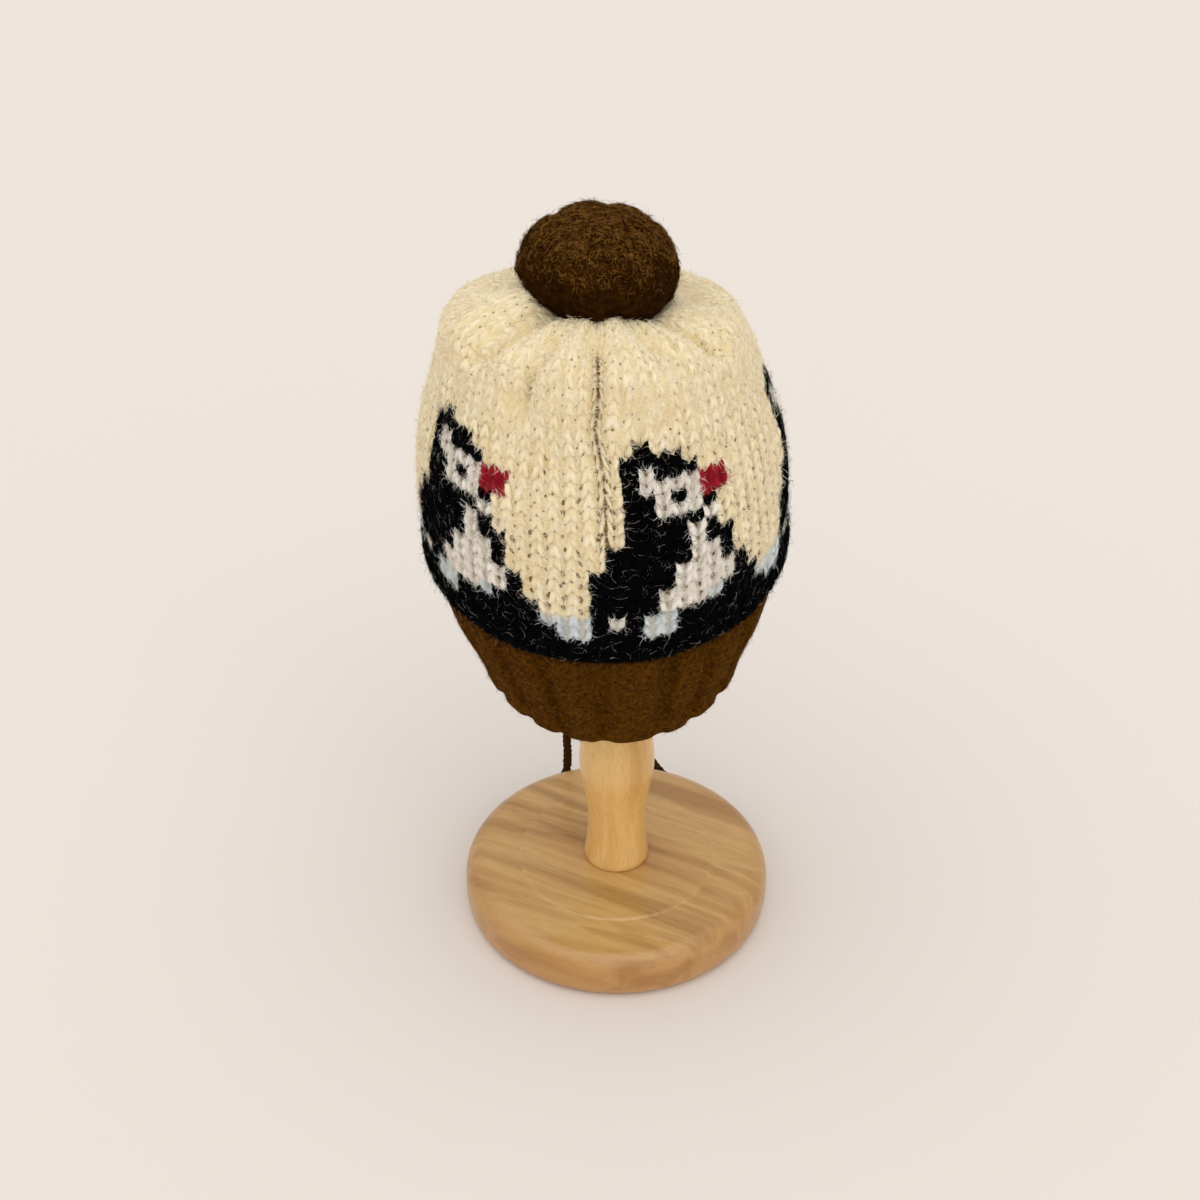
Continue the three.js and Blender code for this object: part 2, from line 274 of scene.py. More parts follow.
@dataclass(frozen=True)
class WoolFinish:
    """Wool that was knitted or rolled and then felted in hot water.

    Its scales have locked together, so the eye gets no gloss: a soft matt colour that is a little
    uneven, a pale bloom where the fibres are seen edge on, and a fine tangle all over.
    """

    name: str
    light: str
    deep: str
    bloom: float = 0.35
    bloom_tint: str = "ffffff"
    mottle: float = 7.0         # size of the patches of lighter and deeper colour
    tangle: float = 0.55        # size of the tangled fibres, coarser than real ones so that they show
    relief: float = 0.35        # height of that tangle
    gloss: float = 0.12
    drawn: tuple[float, float, float] = (1.0, 1.0, 1.0)    # below 1 the tangle is drawn out that way

    def material(self) -> bpy.types.Material:
        """Makes the finish.

        Returns:
            The finish as a Blender material.
        """
        made, tree = empty_material(self.name)
        place = add_node(tree, "ShaderNodeTexCoord").outputs["Object"]
        patches = add_node(
            tree, "ShaderNodeTexNoise", {"Vector": place, "Scale": per_metre(self.mottle), "Detail": 2.0})
        combed = add_node(tree, "ShaderNodeVectorMath", {0: place, 1: self.drawn}, operation="MULTIPLY")
        fibres = add_node(
            tree, "ShaderNodeTexNoise",
            {
                "Vector": combed.outputs[0], "Scale": per_metre(self.tangle), "Detail": 3.0,
                "Roughness": 0.65, "Distortion": 0.8,
            })
        mixed = add_node(
            tree, "ShaderNodeMath", {0: fibres.outputs["Fac"], 1: 0.65, 2: patches.outputs["Fac"]},
            operation="MULTIPLY_ADD")
        spread = add_node(
            tree, "ShaderNodeMapRange", {"Value": mixed.outputs[0], "From Min": 0.5, "From Max": 1.15})
        colour = add_node(
            tree, "ShaderNodeMix",
            {0: spread.outputs[0], 6: linear_colour(self.deep), 7: linear_colour(self.light)},
            data_type="RGBA")
        bump = add_node(
            tree, "ShaderNodeBump",
            {"Height": fibres.outputs["Fac"], "Strength": 0.7, "Distance": self.relief * MM})
        shader = add_node(
            tree, "ShaderNodeBsdfPrincipled",
            {
                "Base Color": colour.outputs[2], "Normal": bump.outputs[0], "Roughness": 0.95, "IOR": 1.45,
                "Specular IOR Level": self.gloss, "Sheen Weight": self.bloom, "Sheen Roughness": 0.45,
                "Sheen Tint": linear_colour(self.bloom_tint),
            })
        add_node(tree, "ShaderNodeOutputMaterial", {"Surface": shader.outputs[0]})
        return made


class Grain(Enum):
    """The way that a piece of wood was cut: its grain's direction."""

    ACROSS = "across"
    UPRIGHT = "upright"


@dataclass(frozen=True)
class TurnedWoodFinish:
    """Pale rubberwood, turned on a lathe, sanded and given a satin varnish.

    The eye gets broad honey and straw streaks along the grain, short fine pores, a warmer and darker tone at
    the turned rim, partly the wood's own and partly painted shade, and a soft clear reflection on top.
    """

    name: str
    grain: Grain
    streaks: tuple[str, str, str, str]      # tones of the grain, from one side of a streak to the other
    rim: str                                # the warmer, darker tone of the turned rim: partly the wood's own, partly painted shade
    slant: float = 27.0         # degrees that the grain runs off the straight
    streak_length: float = 190.0
    streak_width: float = 17.0
    pore_length: float = 9.0
    pore_width: float = 0.8     # coarser than real pores so that they show
    rim_shade_from: float = 64.0     # the rim's tone and painted shade begin at this radius
    rim_shade_to: float = 75.0

    def material(self) -> bpy.types.Material:
        """Makes the finish.

        Returns:
            The finish as a Blender material.
        """
        made, tree = empty_material(self.name)
        place = add_node(tree, "ShaderNodeTexCoord").outputs["Object"]
        upright = self.grain is Grain.UPRIGHT
        turn = (0, math.radians(90), 0) if upright else (0, 0, math.radians(self.slant))
        along = add_node(tree, "ShaderNodeMapping", {"Vector": place, "Rotation": turn})

        def stretched(length: float, width: float, detail: float, distortion: float) -> bpy.types.NodeSocket:
            """Noise drawn out along the grain.

            Args:
                length: Size of its features along the grain.
                width: Their size across it.
                detail: Octaves of finer noise.
                distortion: How far they waver.

            Returns:
                The noise's value.
            """
            scale = (per_metre(length), per_metre(width), per_metre(width))
            drawn = add_node(
                tree, "ShaderNodeVectorMath", {0: along.outputs[0], 1: scale}, operation="MULTIPLY")
            made_noise = add_node(
                tree, "ShaderNodeTexNoise",
                {"Vector": drawn.outputs[0], "Scale": 1.0, "Detail": detail, "Distortion": distortion})
            return made_noise.outputs["Fac"]

        streaks = stretched(self.streak_length, self.streak_width, 4.0, 0.5)
        pores = stretched(self.pore_length, self.pore_width, 2.0, 0.2)
        tones = add_node(tree, "ShaderNodeValToRGB", {"Fac": streaks})
        set_ramp(tones, tuple(zip((0.3, 0.43, 0.55, 0.7), self.streaks)))
        pore_shade = add_node(
            tree, "ShaderNodeMapRange", {"Value": pores, "From Min": 0.3, "From Max": 0.5, "To Min": 0.87})
        flat = add_node(tree, "ShaderNodeVectorMath", {0: place, 1: (1, 1, 0)}, operation="MULTIPLY")
        radius = add_node(tree, "ShaderNodeVectorMath", {0: flat.outputs[0]}, operation="LENGTH")
        # towards the rim the colour turns warmer and darker: partly the wood's own tone, partly painted
        # shade
        rim_tone_and_shade = add_node(
            tree, "ShaderNodeMapRange",
            {
                "Value": radius.outputs["Value"], "From Min": self.rim_shade_from * MM,
                "From Max": self.rim_shade_to * MM, "To Max": 0.5,
            })
        pored = add_node(
            tree, "ShaderNodeMix", {0: 1.0, 6: tones.outputs[0], 7: pore_shade.outputs[0]},
            data_type="RGBA", blend_type="MULTIPLY")
        colour = add_node(
            tree, "ShaderNodeMix",
            {0: rim_tone_and_shade.outputs[0], 6: pored.outputs[2], 7: linear_colour(self.rim)}, data_type="RGBA")
        bump = add_node(
            tree, "ShaderNodeBump", {"Height": pores, "Strength": 0.15, "Distance": 0.1 * MM})
        shader = add_node(
            tree, "ShaderNodeBsdfPrincipled",
            {
                "Base Color": colour.outputs[2], "Normal": bump.outputs[0], "Roughness": 0.42, "IOR": 1.5,
                "Coat Weight": 0.45, "Coat Roughness": 0.16, "Coat IOR": 1.5,
            })
        add_node(tree, "ShaderNodeOutputMaterial", {"Surface": shader.outputs[0]})
        return made


@dataclass(frozen=True)
class PaperFinish:
    """Matt studio paper: one even pale colour with no gloss."""

    name: str
    colour: str

    def material(self) -> bpy.types.Material:
        """Makes the finish.

        Returns:
            The finish as a Blender material.
        """
        made = bpy.data.materials.new(self.name)
        made.use_nodes = True
        shader = made.node_tree.nodes["Principled BSDF"]
        shader.inputs["Base Color"].default_value = linear_colour(self.colour)
        shader.inputs["Roughness"].default_value = 1.0
        shader.inputs["Specular IOR Level"].default_value = 0.0
        return made


@dataclass(frozen=True)
class Fold:
    """A gather that runs from the pompom down the crown."""

    at: float               # degrees round the hat from the front
    width: float            # degrees
    depth: float            # how far the cloth falls in, below zero it puffs out
    reach: float            # how far it runs from the gather's centre


@dataclass(frozen=True)
class Crease:
    """A sharp line where two gathers press against each other."""

    line: tuple[tuple[float, float], ...]   # place in the table of sections and degrees, from low to high
    width: float
    depth: float
    fade: float = 0.7           # it fades in over this stretch of the table at both ends
    sways: bool = False         # whether it runs between two columns of stitches, which lean with it

    def share(self, place: Array) -> Array:
        """How much of the crease is there at places in the table, from 0 to 1."""
        low, high = self.line[0][0], self.line[-1][0]
        return smoothstep(place, low, low + self.fade) * (1 - smoothstep(place, high - self.fade, high))

    def offset(self, place: Array, angle: Array, radius: Array) -> Array:
        """Distances from the crease, to its right above zero.

        Args:
            place: Places in the table of sections.
            angle: Directions round the hat, in radians.
            radius: The hat's radius there.

        Returns:
            Millimetres along the cloth.
        """
        places, turns = np.array(self.line).T
        aside = (np.degrees(angle) - np.interp(place, places, turns) + 180) % 360 - 180
        return np.radians(aside) * radius


@dataclass(frozen=True)
class Swell:
    """A soft place where the cloth stands out between its gathers."""

    at: float                   # degrees round the hat from the front
    place: float                # in the table of sections
    wide: float                 # degrees
    tall: float                 # places
    rise: float


@dataclass(frozen=True)
class HatForm:
    """The shape of the hat's cloth on the stand: oval sections with gathers drawn into them."""

    # height, radius, back (half depth of the rear), dip of the front, shift to the side
    sections: tuple[tuple[float, float, float, float, float], ...] = (
        (155, 59.0, 79, 16, -3.0),
        (170, 63.5, 80, 16, -3.7),
        (190, 71.5, 82, 17, -4.6),
        (214, 77.5, 83, 17, -5.6),
        (230, 79.0, 82, 15, -6.4),
        (250, 78.8, 81, 12, -7.2),
        (271, 75.6, 77, 7, -8.0),
        (291, 69.6, 71, 2, -8.6),
        (306, 65.6, 66, 0, -9.0),
        (317, 61.5, 61, 0, -10.0),
        (322.5, 52.5, 52, 0, -9.5),
        (324, 41.0, 41, 0, -9.0),
        (323, 30.5, 30.5, 0, -8.6),
        (316, 21.5, 21.5, 0, -8.3),
        (310.5, 11.0, 11, 0, -8.0),
        (309, 0.0, 0, 0, -8.0),
    )
    junction: float = 3.0       # place in that table where the crown is knitted onto the band
    folds: tuple[Fold, ...] = (
        Fold(180, 60, 5.0, 130),
        Fold(-170, 10, 4.0, 95),
        Fold(-132, 9, 5.0, 80),
        Fold(-100, 8, 4.0, 75),
        Fold(-50, 8, 5.5, 90),
        Fold(-38, 7, -2.5, 60),
        Fold(-27, 6, 4.0, 120),
        Fold(-14, 7, -3.0, 60),
        Fold(-2, 5, 3.2, 160),
        Fold(22, 7, 3.5, 85),
        Fold(49, 8, 4.5, 85),
        Fold(76, 32, 4.2, 125),
        Fold(100, 9, 4.0, 90),
        Fold(134, 9, 4.5, 75),
        Fold(164, 8, 3.5, 85),
    )
    # soft valleys between the puffs at the front, and the sharp lines along the bottom of two of them
    valleys: tuple[Crease, ...] = (
        Crease(
            ((8.2, -52.0), (9.3, -46.0), (10.5, -42.0), (11.4, -42.0), (12.8, -42.0)),
            width=5.5, depth=9.0),
        Crease(
            ((7.0, -29.2), (8.0, -27.2), (8.9, -24.2), (10.2, -20.8), (12.4, -16.5)),
            width=4.5, depth=4.5),
        Crease(((5.2, 1.0), (7.3, -1.2), (8.3, 0.5), (9.5, 1.2), (12.4, -0.8)), width=4.5, depth=3.5),
        Crease(((9.0, 35.0), (10.4, 28.0), (12.4, 23.0)), width=5.0, depth=4.0),
        Crease(
            ((8.4, 58.0), (9.5, 52.5), (10.5, 49.0), (11.4, 48.0), (12.6, 47.0)),
            width=5.5, depth=8.0),
    )
    creases: tuple[Crease, ...] = (
        Crease(
            ((4.9, 1.3), (6.0, 1.8), (6.6, 1.4), (7.3, -1.2), (8.3, 0.5), (9.5, 1.2), (11.3, -0.8)),
            width=0.62, depth=5.5, sways=True),
        Crease(
            ((7.0, -29.2), (8.0, -27.2), (8.9, -24.2), (10.2, -20.8), (11.2, -17.5)),
            width=0.9, depth=3.0),
    )
    swells: tuple[Swell, ...] = (
        Swell(-22, 12.1, 30, 0.9, 4.5),
        Swell(22, 12.1, 30, 0.9, 3.5),
        Swell(-70, 12.1, 26, 1.1, 6.5),
        Swell(80, 11.9, 30, 1.1, 1.0),
        Swell(125, 11.2, 42, 1.6, -6.5),
        Swell(180, 12.1, 50, 1.0, 3.0),
        Swell(-12, 9.8, 7, 1.8, 2.5),
        Swell(-33, 10.2, 6, 1.2, 2.5),
        Swell(14, 9.8, 8, 1.8, 2.5),
        Swell(39, 10.2, 7, 1.3, 2.0),
        Swell(-66, 10.4, 14, 1.6, 4.0),
        Swell(72, 10.2, 14, 1.6, 3.0),
    )
    fold_start: float = 16.0    # a fold begins this far from the gather's centre
    fold_full: float = 66.0     # and is at its full depth here
    fold_fade: float = 0.3      # it starts to fade at this share of its reach
    samples: int = 1200         # places along the table where lengths are measured

    @property
    def gather(self) -> float:
        """The last place in the table, where the crown is drawn together."""
        return len(self.sections) - 1.0

    def section(self, place: Array) -> Array:
        """The section at any place in the table, on smooth curves through its columns.

        Args:
            place: Places in the table.

        Returns:
            The five columns at each place, on the last axis.
        """
        table = np.array(self.sections, float)
        last = len(table) - 1
        row = np.clip(np.floor(place).astype(int), 0, last - 1)
        t = (place - row)[..., None]
        before, low, high, after = (table[np.clip(row + k, 0, last)] for k in (-1, 0, 1, 2))
        leave, arrive = (high - before) / 2, (after - low) / 2
        cubic = 2 * low - 2 * high + leave + arrive
        square = 3 * high - 3 * low - 2 * leave - arrive
        return ((cubic * t + square) * t + leave) * t + low

    def point(self, place: Array, angle: Array) -> Array:
        """Points of the smooth hat.

        Args:
            place: Places in the table of sections.
            angle: Directions round the hat, in radians.

        Returns:
            The points, on the last axis.
        """
        height, radius, back, dip, shift = np.moveaxis(self.section(place), -1, 0)
        radius, back = np.maximum(radius, 0), np.maximum(back, 0)
        depth = np.where(np.cos(angle) > 0, radius, back)
        return np.stack(
            [shift + radius * np.sin(angle), -depth * np.cos(angle), height - dip * np.cos(angle)], axis=-1)

    def normal(self, place: Array, angle: Array) -> Array:
        """Outward directions of the smooth hat.

        Args:
            place: Places in the table of sections.
            angle: Directions round the hat, in radians.

        Returns:
            Unit vectors, on the last axis.
        """
        step = 0.02
        place = np.minimum(place, self.gather - step)
        along = self.point(place + step, angle) - self.point(np.maximum(place - step, 0), angle)
        around = self.point(place, angle + step) - self.point(place, angle - step)
        return unit(np.cross(around, along))

    def length_table(self, angle: float) -> tuple[Array, Array]:
        """Lengths along the cloth on one side of the hat.

        Args:
            angle: The direction round the hat, in radians.

        Returns:
            Places in the table, and each one's distance from the rim.
        """
        place = np.linspace(0, self.gather, self.samples)
        line = self.point(place, np.full_like(place, angle))
        spans = np.linalg.norm(np.diff(line, axis=0), axis=1)
        return place, np.concatenate([[0], np.cumsum(spans)])

    def fold_depth(self, place: Array, angle: Array) -> Array:
        """How far the gathers draw the cloth in.

        Args:
            place: Places in the table of sections.
            angle: Directions round the hat, in radians.

        Returns:
            Depths below the smooth hat.
        """
        places, lengths = self.length_table(math.pi / 2)
        distance = lengths[-1] - np.interp(place, places, lengths)
        total = np.zeros(np.broadcast(place, angle).shape)
        for fold in self.folds:
            turn = np.degrees(angle) - fold.at
            turn = turn - 360 * np.round(turn / 360)
            fade = 1 - smoothstep(distance, fold.reach * self.fold_fade, fold.reach)
            total += fold.depth * np.exp(-((turn / fold.width) ** 2)) * fade
        total = total * smoothstep(distance, self.fold_start, self.fold_full)
        total += self.drawn_in(self.valleys, place, angle)
        for swell in self.swells:
            aside = ((np.degrees(angle) - swell.at + 180) % 360 - 180) / swell.wide
            total -= swell.rise * np.exp(-(aside ** 2) - ((place - swell.place) / swell.tall) ** 2)
        return total

    def drawn_in(self, lines: Iterable[Crease], place: Array, angle: Array) -> Array:
        """How far the cloth dives along lines across the hat.

        Args:
            lines: Valleys or creases.
            place: Places in the table of sections.
            angle: Directions round the hat, in radians.

        Returns:
            Their depths, added up.
        """
        radius = self.section(place)[..., 1]
        total = np.zeros(np.broadcast(place, angle).shape)
        for crease in lines:
            offset = crease.offset(place, angle, radius) / crease.width
            total += crease.depth * np.exp(-offset ** 2) * crease.share(place)
        return total


class KnitGround(Protocol):
    """A surface that stitches are knitted on, measured in stitches across and rows up."""

    def place(self, column: Array, row: Array, lift: Array) -> Array:
        """Points at a height above the surface."""

    def outward(self, column: Array, row: Array) -> Array:
        """Outward directions of the surface."""


@dataclass(frozen=True)
class VStitch:
    """One knit stitch: two legs of yarn in a V, over a bed of the same wool that felting has closed."""

    width: float
    height: float
    yarn: float             # diameter of a leg
    proud: float = 0.5      # how far a leg's crest stands above the surface
    sides: int = 6
    rings: int = 5
    foot: float = 0.09      # half the distance between the legs at the bottom, in widths
    spread: float = 0.34    # how much further apart they stand at the shoulder
    shoulder: float = 0.7   # share of the way up where they stand furthest apart
    hook: float = 0.06      # how far they turn back in above it, in widths
    start: float = -0.15    # heights below the stitch where a leg begins
    rise: float = 1.6       # heights that it climbs, behind the stitch above
    crest: float = 0.4      # share of the way up where it stands highest
    bottom_tuck: float = 0.25
    top_tuck: float = 0.9   # how far its ends dip, in yarns
    end_size: float = 0.6   # thickness at its ends, as a share of the yarn
    flatness: float = 0.72  # the yarn's height as a share of its width
    bed_depth: float = 0.25     # the bed lies this many yarns below the surface
    bed_overlap: float = 1.06   # and reaches a little under its neighbours
    bed_peak: float = 0.95  # it is a V too: its sides stand this many heights above its middle
    bed_drop: float = 0.42  # and its middle lies this many heights low
    uneven: float = 0.075   # chance changes in size and place, as a share of the yarn

    def leg(self, side: int) -> tuple[Shell, Array]:
        """One leg of the stitch, lying flat.

        Args:
            side: 1 for the right leg and -1 for the left.

        Returns:
            The leg, and for each of its points the point on its middle line.
        """
        t = np.linspace(0, 1, self.rings + 2)
        below = np.clip(1 - t / self.crest, 0, 1)
        above = np.clip((t - self.crest) / (1 - self.crest), 0, 1)
        apart = self.spread * np.sin(np.clip(t / self.shoulder, 0, 1) * math.pi / 2)
        turned_in = self.hook * np.clip((t - self.shoulder) / (1 - self.shoulder), 0, 1) ** 2
        x = side * self.width * (self.foot + apart - turned_in)
        y = self.height * (self.start + self.rise * t)
        dip = self.bottom_tuck * below ** 2 + self.top_tuck * above ** 2
        z = self.proud - self.yarn * (self.flatness / 2 + dip)
        middle = np.stack([x, y, z], axis=1)
        ahead = unit(np.gradient(middle, axis=0))
        sideways = unit(np.cross(ahead, (0, 0, 1)))
        upward = np.cross(sideways, ahead) * self.flatness
        thick = self.yarn / 2 * (self.end_size + (1 - self.end_size) * np.sin(math.pi * t))
        turn = np.linspace(0, 2 * math.pi, self.sides, endpoint=False) + math.pi / 2
        spokes = (
            sideways[:, None] * np.cos(turn)[None, :, None]
            + upward[:, None] * np.sin(turn)[None, :, None])
        body = Shell.grid((middle[:, None] + thick[:, None, None] * spokes)[1:-1])
        cores = np.concatenate([np.repeat(middle[1:-1], self.sides, axis=0), middle[[0, -1]]])
        return body.capped(middle[0], middle[-1], self.sides), cores

    def bed(self) -> Shell:
        """The felted bed behind the legs.

        Returns:
            A V of two strips, lying flat.
        """
        across = np.array([-0.5, 0, 0.5]) * self.width * self.bed_overlap
        upward = np.array([0, 0.5, 1]) * self.height * self.bed_overlap
        y, x = np.meshgrid(upward, across, indexing="ij")
        y = y + self.height * (self.bed_peak * np.abs(x) / across[-1] - self.bed_drop)
        points = np.stack([x, y, np.full_like(x, -self.bed_depth * self.yarn)], axis=-1).reshape(-1, 3)
        quads = [[r * 3 + c, r * 3 + c + 1, r * 3 + c + 4, r * 3 + c + 3] for r in (0, 1) for c in (0, 1)]
        return Shell(points, np.array(quads))

    def lay(
        self, columns: Array, rows: Array, ground: KnitGround, chance: np.random.Generator
    ) -> tuple[Shell, Shell]:
        """Knits stitches onto a ground.

        Args:
            columns: The middle of each stitch, in stitches across.
            rows: The bottom of each stitch, in rows up.
            ground: The surface that they lie on.
            chance: Source of the small differences between stitches.

        Returns:
            All the legs as one shell, and all the beds as another.
        """
        legs = [self.leg(-1), self.leg(1)]
        template = Shell.joined(shell for shell, _ in legs)
        cores = np.concatenate([core for _, core in legs])
        count = len(columns)
        size = 1 + chance.normal(0, self.uneven, (count, 1, 1))
        shift = chance.normal(0, self.uneven * self.yarn, (count, 1, 3))
        lumps = 1 + chance.normal(0, self.uneven, (count, len(cores), 1))
        flat = cores + (template.points - cores) * size * lumps + shift
        bed = self.bed()

        def laid(points: Array) -> Array:
            """Points of the flat stitch, moved to each stitch's place on the ground."""
            return ground.place(
                columns[:, None] + points[..., 0] / self.width, rows[:, None] + points[..., 1] / self.height,
                points[..., 2])

        beds = np.tile(bed.points, (count, 1, 1))
        beds[rows == 0, :3, 1] = 0.0     # the lowest row has a straight edge
        return Shell.copies(template, laid(flat)), Shell.copies(bed, laid(beds))


@dataclass(frozen=True)
class Pinholes:
    """The small gaps between the legs of yarn that felting has left open, as flat dark dots of painted
    shade.
    """

    wide: float = 1.9
    tall: float = 3.0
    corners: int = 7
    crotch: float = 0.72        # rows above a stitch's bottom: a gap between its legs
    beside: float = 0.12        # and one between two columns
    rim_rise: float = 0.2       # the edge of a dot lies this far above the bed
    sizes: tuple[float, float] = (0.3, 1.2)     # smallest and largest, as a share of the cloth's own
    least: float = 0.3          # a gap smaller than this has felted shut
    slant: float = 0.25         # how far a gap may lean
    stray: float = 0.09         # how far felting has pulled a gap from its place, in stitches

    def dots(
        self, columns: Array, rows: Array, size: Array, bed: float, stitch: VStitch, ground: KnitGround,
        chance: np.random.Generator,
    ) -> Shell:
        """Opens the gaps of some stitches.

        Args:
            columns: The middle of each stitch, in stitches across.
            rows: The bottom of each stitch, in rows up.
            size: The size of each stitch's gaps, zero where felting has closed them.
            bed: Height of the stitches' bed.
            stitch: The stitch that the gaps belong to.
            ground: The surface that they lie on.
            chance: Source of the small differences between gaps.

        Returns:
            All the gaps as one shell of small round patches.
        """
        middle = np.concatenate([columns, columns + 0.5])
        bottom = np.concatenate([rows + self.crotch, rows + self.beside])
        middle = middle + chance.normal(0, self.stray, len(middle))
        bottom = bottom + chance.normal(0, self.stray, len(bottom))
        scale = np.concatenate([size, size]) * chance.uniform(*self.sizes, len(middle))
        open_ones = scale > self.least
        middle, bottom, scale = middle[open_ones, None], bottom[open_ones, None], scale[open_ones, None]
        turn = np.linspace(0, 2 * math.pi, self.corners, endpoint=False)
        across = np.append(np.cos(turn), 0) * self.wide / 2
        along = np.append(np.sin(turn), 0) * self.tall / 2
        lean = chance.normal(0, self.slant, (len(middle), 1)) * along
        points = ground.place(
            middle + (across + lean) * scale / stitch.width,
            bottom + along * scale / stitch.height,
            np.full((len(middle), self.corners + 1), bed + self.rim_rise))
        place = np.arange(self.corners)
        fan = np.stack([np.full(self.corners, self.corners), place, (place + 1) % self.corners], axis=1)
        template = Shell(np.zeros((self.corners + 1, 3)), triangles=fan)
        return Shell.copies(template, points)


@dataclass(frozen=True)
class Fuzz:
    """Loose fibres of felted wool: thin tapered strands rooted in the cloth."""

    shortest: float
    longest: float
    width: float
    stand: float                # how far a lying fibre rises, as a share of its length
    stray_share: float = 0.12   # share of the fibres that stand off the cloth
    stray_stand: float = 0.7
    curl: float = 0.35
    steps: int = 2
    thinning: float = 0.6       # share of its width that a fibre loses towards its tip

    def strands(self, roots: Array, outward: Array, chance: np.random.Generator) -> Shell:
        """Grows the fibres.

        Args:
            roots: Where each one is rooted.
            outward: The direction out of the cloth there.
            chance: Source of their lengths and directions.

        Returns:
            The fibres as one shell.
        """
        count = len(roots)
        heading = chance.normal(size=(count, 3))
        heading = unit(heading - outward * (heading * outward).sum(1, keepdims=True))
        beside = np.cross(outward, heading)
        length = chance.uniform(self.shortest, self.longest, (count, 1))
        stray = chance.random((count, 1)) < self.stray_share
        rise = length * np.where(stray, self.stray_stand, self.stand) * chance.uniform(0.3, 1.0, (count, 1))
        bend = length * chance.normal(0, self.curl, (count, 1))
        middle = roots + 0.5 * length * heading + 1.1 * rise * outward - bend * beside
        tip = roots + length * heading + rise * outward * np.where(stray, 1.0, 0.2) + 0.5 * bend * beside
        across = unit(np.cross(heading, chance.normal(size=(count, 3)))) * self.width / 2
        rails = []
        for t in np.arange(self.steps) / self.steps:
            at = (1 - t) ** 2 * roots + 2 * t * (1 - t) * middle + t * t * tip
            taper = 1 - self.thinning * t
            rails += [at - taper * across, at + taper * across]
        first = 2 * np.arange(self.steps - 1)[:, None]
        last = 2 * self.steps
        template = Shell(
            np.zeros((last + 1, 3)), first + np.array([[0, 1, 3, 2]]),
            np.array([[last - 2, last - 1, last]]))
        return Shell.copies(template, np.stack([*rails, tip], axis=1))


def pick_roots(
    points: Array, outward: Array, count: int, chance: np.random.Generator
) -> tuple[Array, Array]:
    """Chooses places for fibres among the points of a surface.

    Args:
        points: Points of the surface.
        outward: The direction out of the cloth at each.
        count: How many to choose.
        chance: Source of the choice.

    Returns:
        The chosen points and their directions.
    """
    chosen = chance.integers(0, len(points), count)
    return points[chosen], outward[chosen]


@dataclass(frozen=True)
class CordGround:
    """The round of a knitted cord along its route, as a ground for stitches."""

    line: Array             # points close together along the middle of the cord
    radius: float
    columns: int
    row_height: float
    floor: float = 0.05     # the cord is pressed flat where it lies on the floor

    def frames(self) -> tuple[Array, Array, Array]:
        """Directions across the cord that turn as little as possible.

        Returns:
            Distances along the line, and two directions across it at each of its points.
        """
        ahead = unit(np.gradient(self.line, axis=0))
        spans = np.linalg.norm(np.diff(self.line, axis=0), axis=1)
        first = unit(np.cross(ahead[0], (1.0, 0.0, 0.0)))
        across = [first]
        for direction in ahead[1:]:
            across.append(unit(across[-1] - direction * (across[-1] @ direction)))
        across_array = np.array(across)
        return np.concatenate([[0], np.cumsum(spans)]), across_array, np.cross(ahead, across_array)

    def spoke(self, column: Array, row: Array) -> tuple[Array, Array]:
        """The middle of the cord and the direction outward.

        Args:
            column: Stitches round the cord.
            row: Rows along it.

        Returns:
            Points on the middle line, and unit vectors.
        """
        length, across, beside = self.frames()
        distance = np.clip(row * self.row_height, 0, length[-1])
        turn = 2 * math.pi * column / self.columns

        def at(values: Array) -> Array:
            """Values at the distances along the line."""
            return np.stack([np.interp(distance, length, values[:, k]) for k in range(3)], axis=-1)

        outward = unit(at(across) * np.cos(turn)[..., None] + at(beside) * np.sin(turn)[..., None])
        return at(self.line), outward

    def place(self, column: Array, row: Array, lift: Array) -> Array:
        """Points at a height above the cord's round.

        Args:
            column: Stitches round the cord.
            row: Rows along it.
            lift: Heights above its round.

        Returns:
            The points, on the last axis.
        """
        middle, outward = self.spoke(column, row)
        points = middle + outward * (self.radius + lift)[..., None]
        points[..., 2] = np.maximum(points[..., 2], self.floor)
        return points

    def outward(self, column: Array, row: Array) -> Array:
        """Directions out of the cord."""
        return self.spoke(column, row)[1]


def smooth_line(points: Sequence[Sequence[float]], steps: int) -> Array:
    """A smooth line through points, as even in its bends as their spacing allows.

    Args:
        points: The points to pass through.
        steps: Steps between two of them.

    Returns:
        Points of a centripetal Catmull-Rom curve.
    """
    route = np.array(points, float)
    ends = [2 * route[0] - route[1]], [2 * route[-1] - route[-2]]
    padded = np.concatenate([ends[0], route, ends[1]])
    line = []
    for a, b, c, d in zip(padded, padded[1:], padded[2:], padded[3:]):
        pairs = ((a, b), (b, c), (c, d))
        knots = np.cumsum([0, *(np.sqrt(np.linalg.norm(q - p)) for p, q in pairs)])
        t = np.linspace(knots[1], knots[2], steps, endpoint=False)[:, None]

        def between(p: Array, q: Array, low: float, high: float) -> Array:
            """A straight blend of two points over a stretch of the curve."""
            return (high - t) / (high - low) * p + (t - low) / (high - low) * q

        first, second, third = (
            between(p, q, knots[k], knots[k + 1]) for k, (p, q) in enumerate(pairs))
        early = between(first, second, knots[0], knots[2])
        late = between(second, third, knots[1], knots[3])
        line.append(between(early, late, knots[1], knots[2]))
    return np.concatenate([*line, route[-1:]])


class TieSide(Enum):
    """The two ties, by the side of the hat that they hang on."""

    LEFT = "left"
    RIGHT = "right"


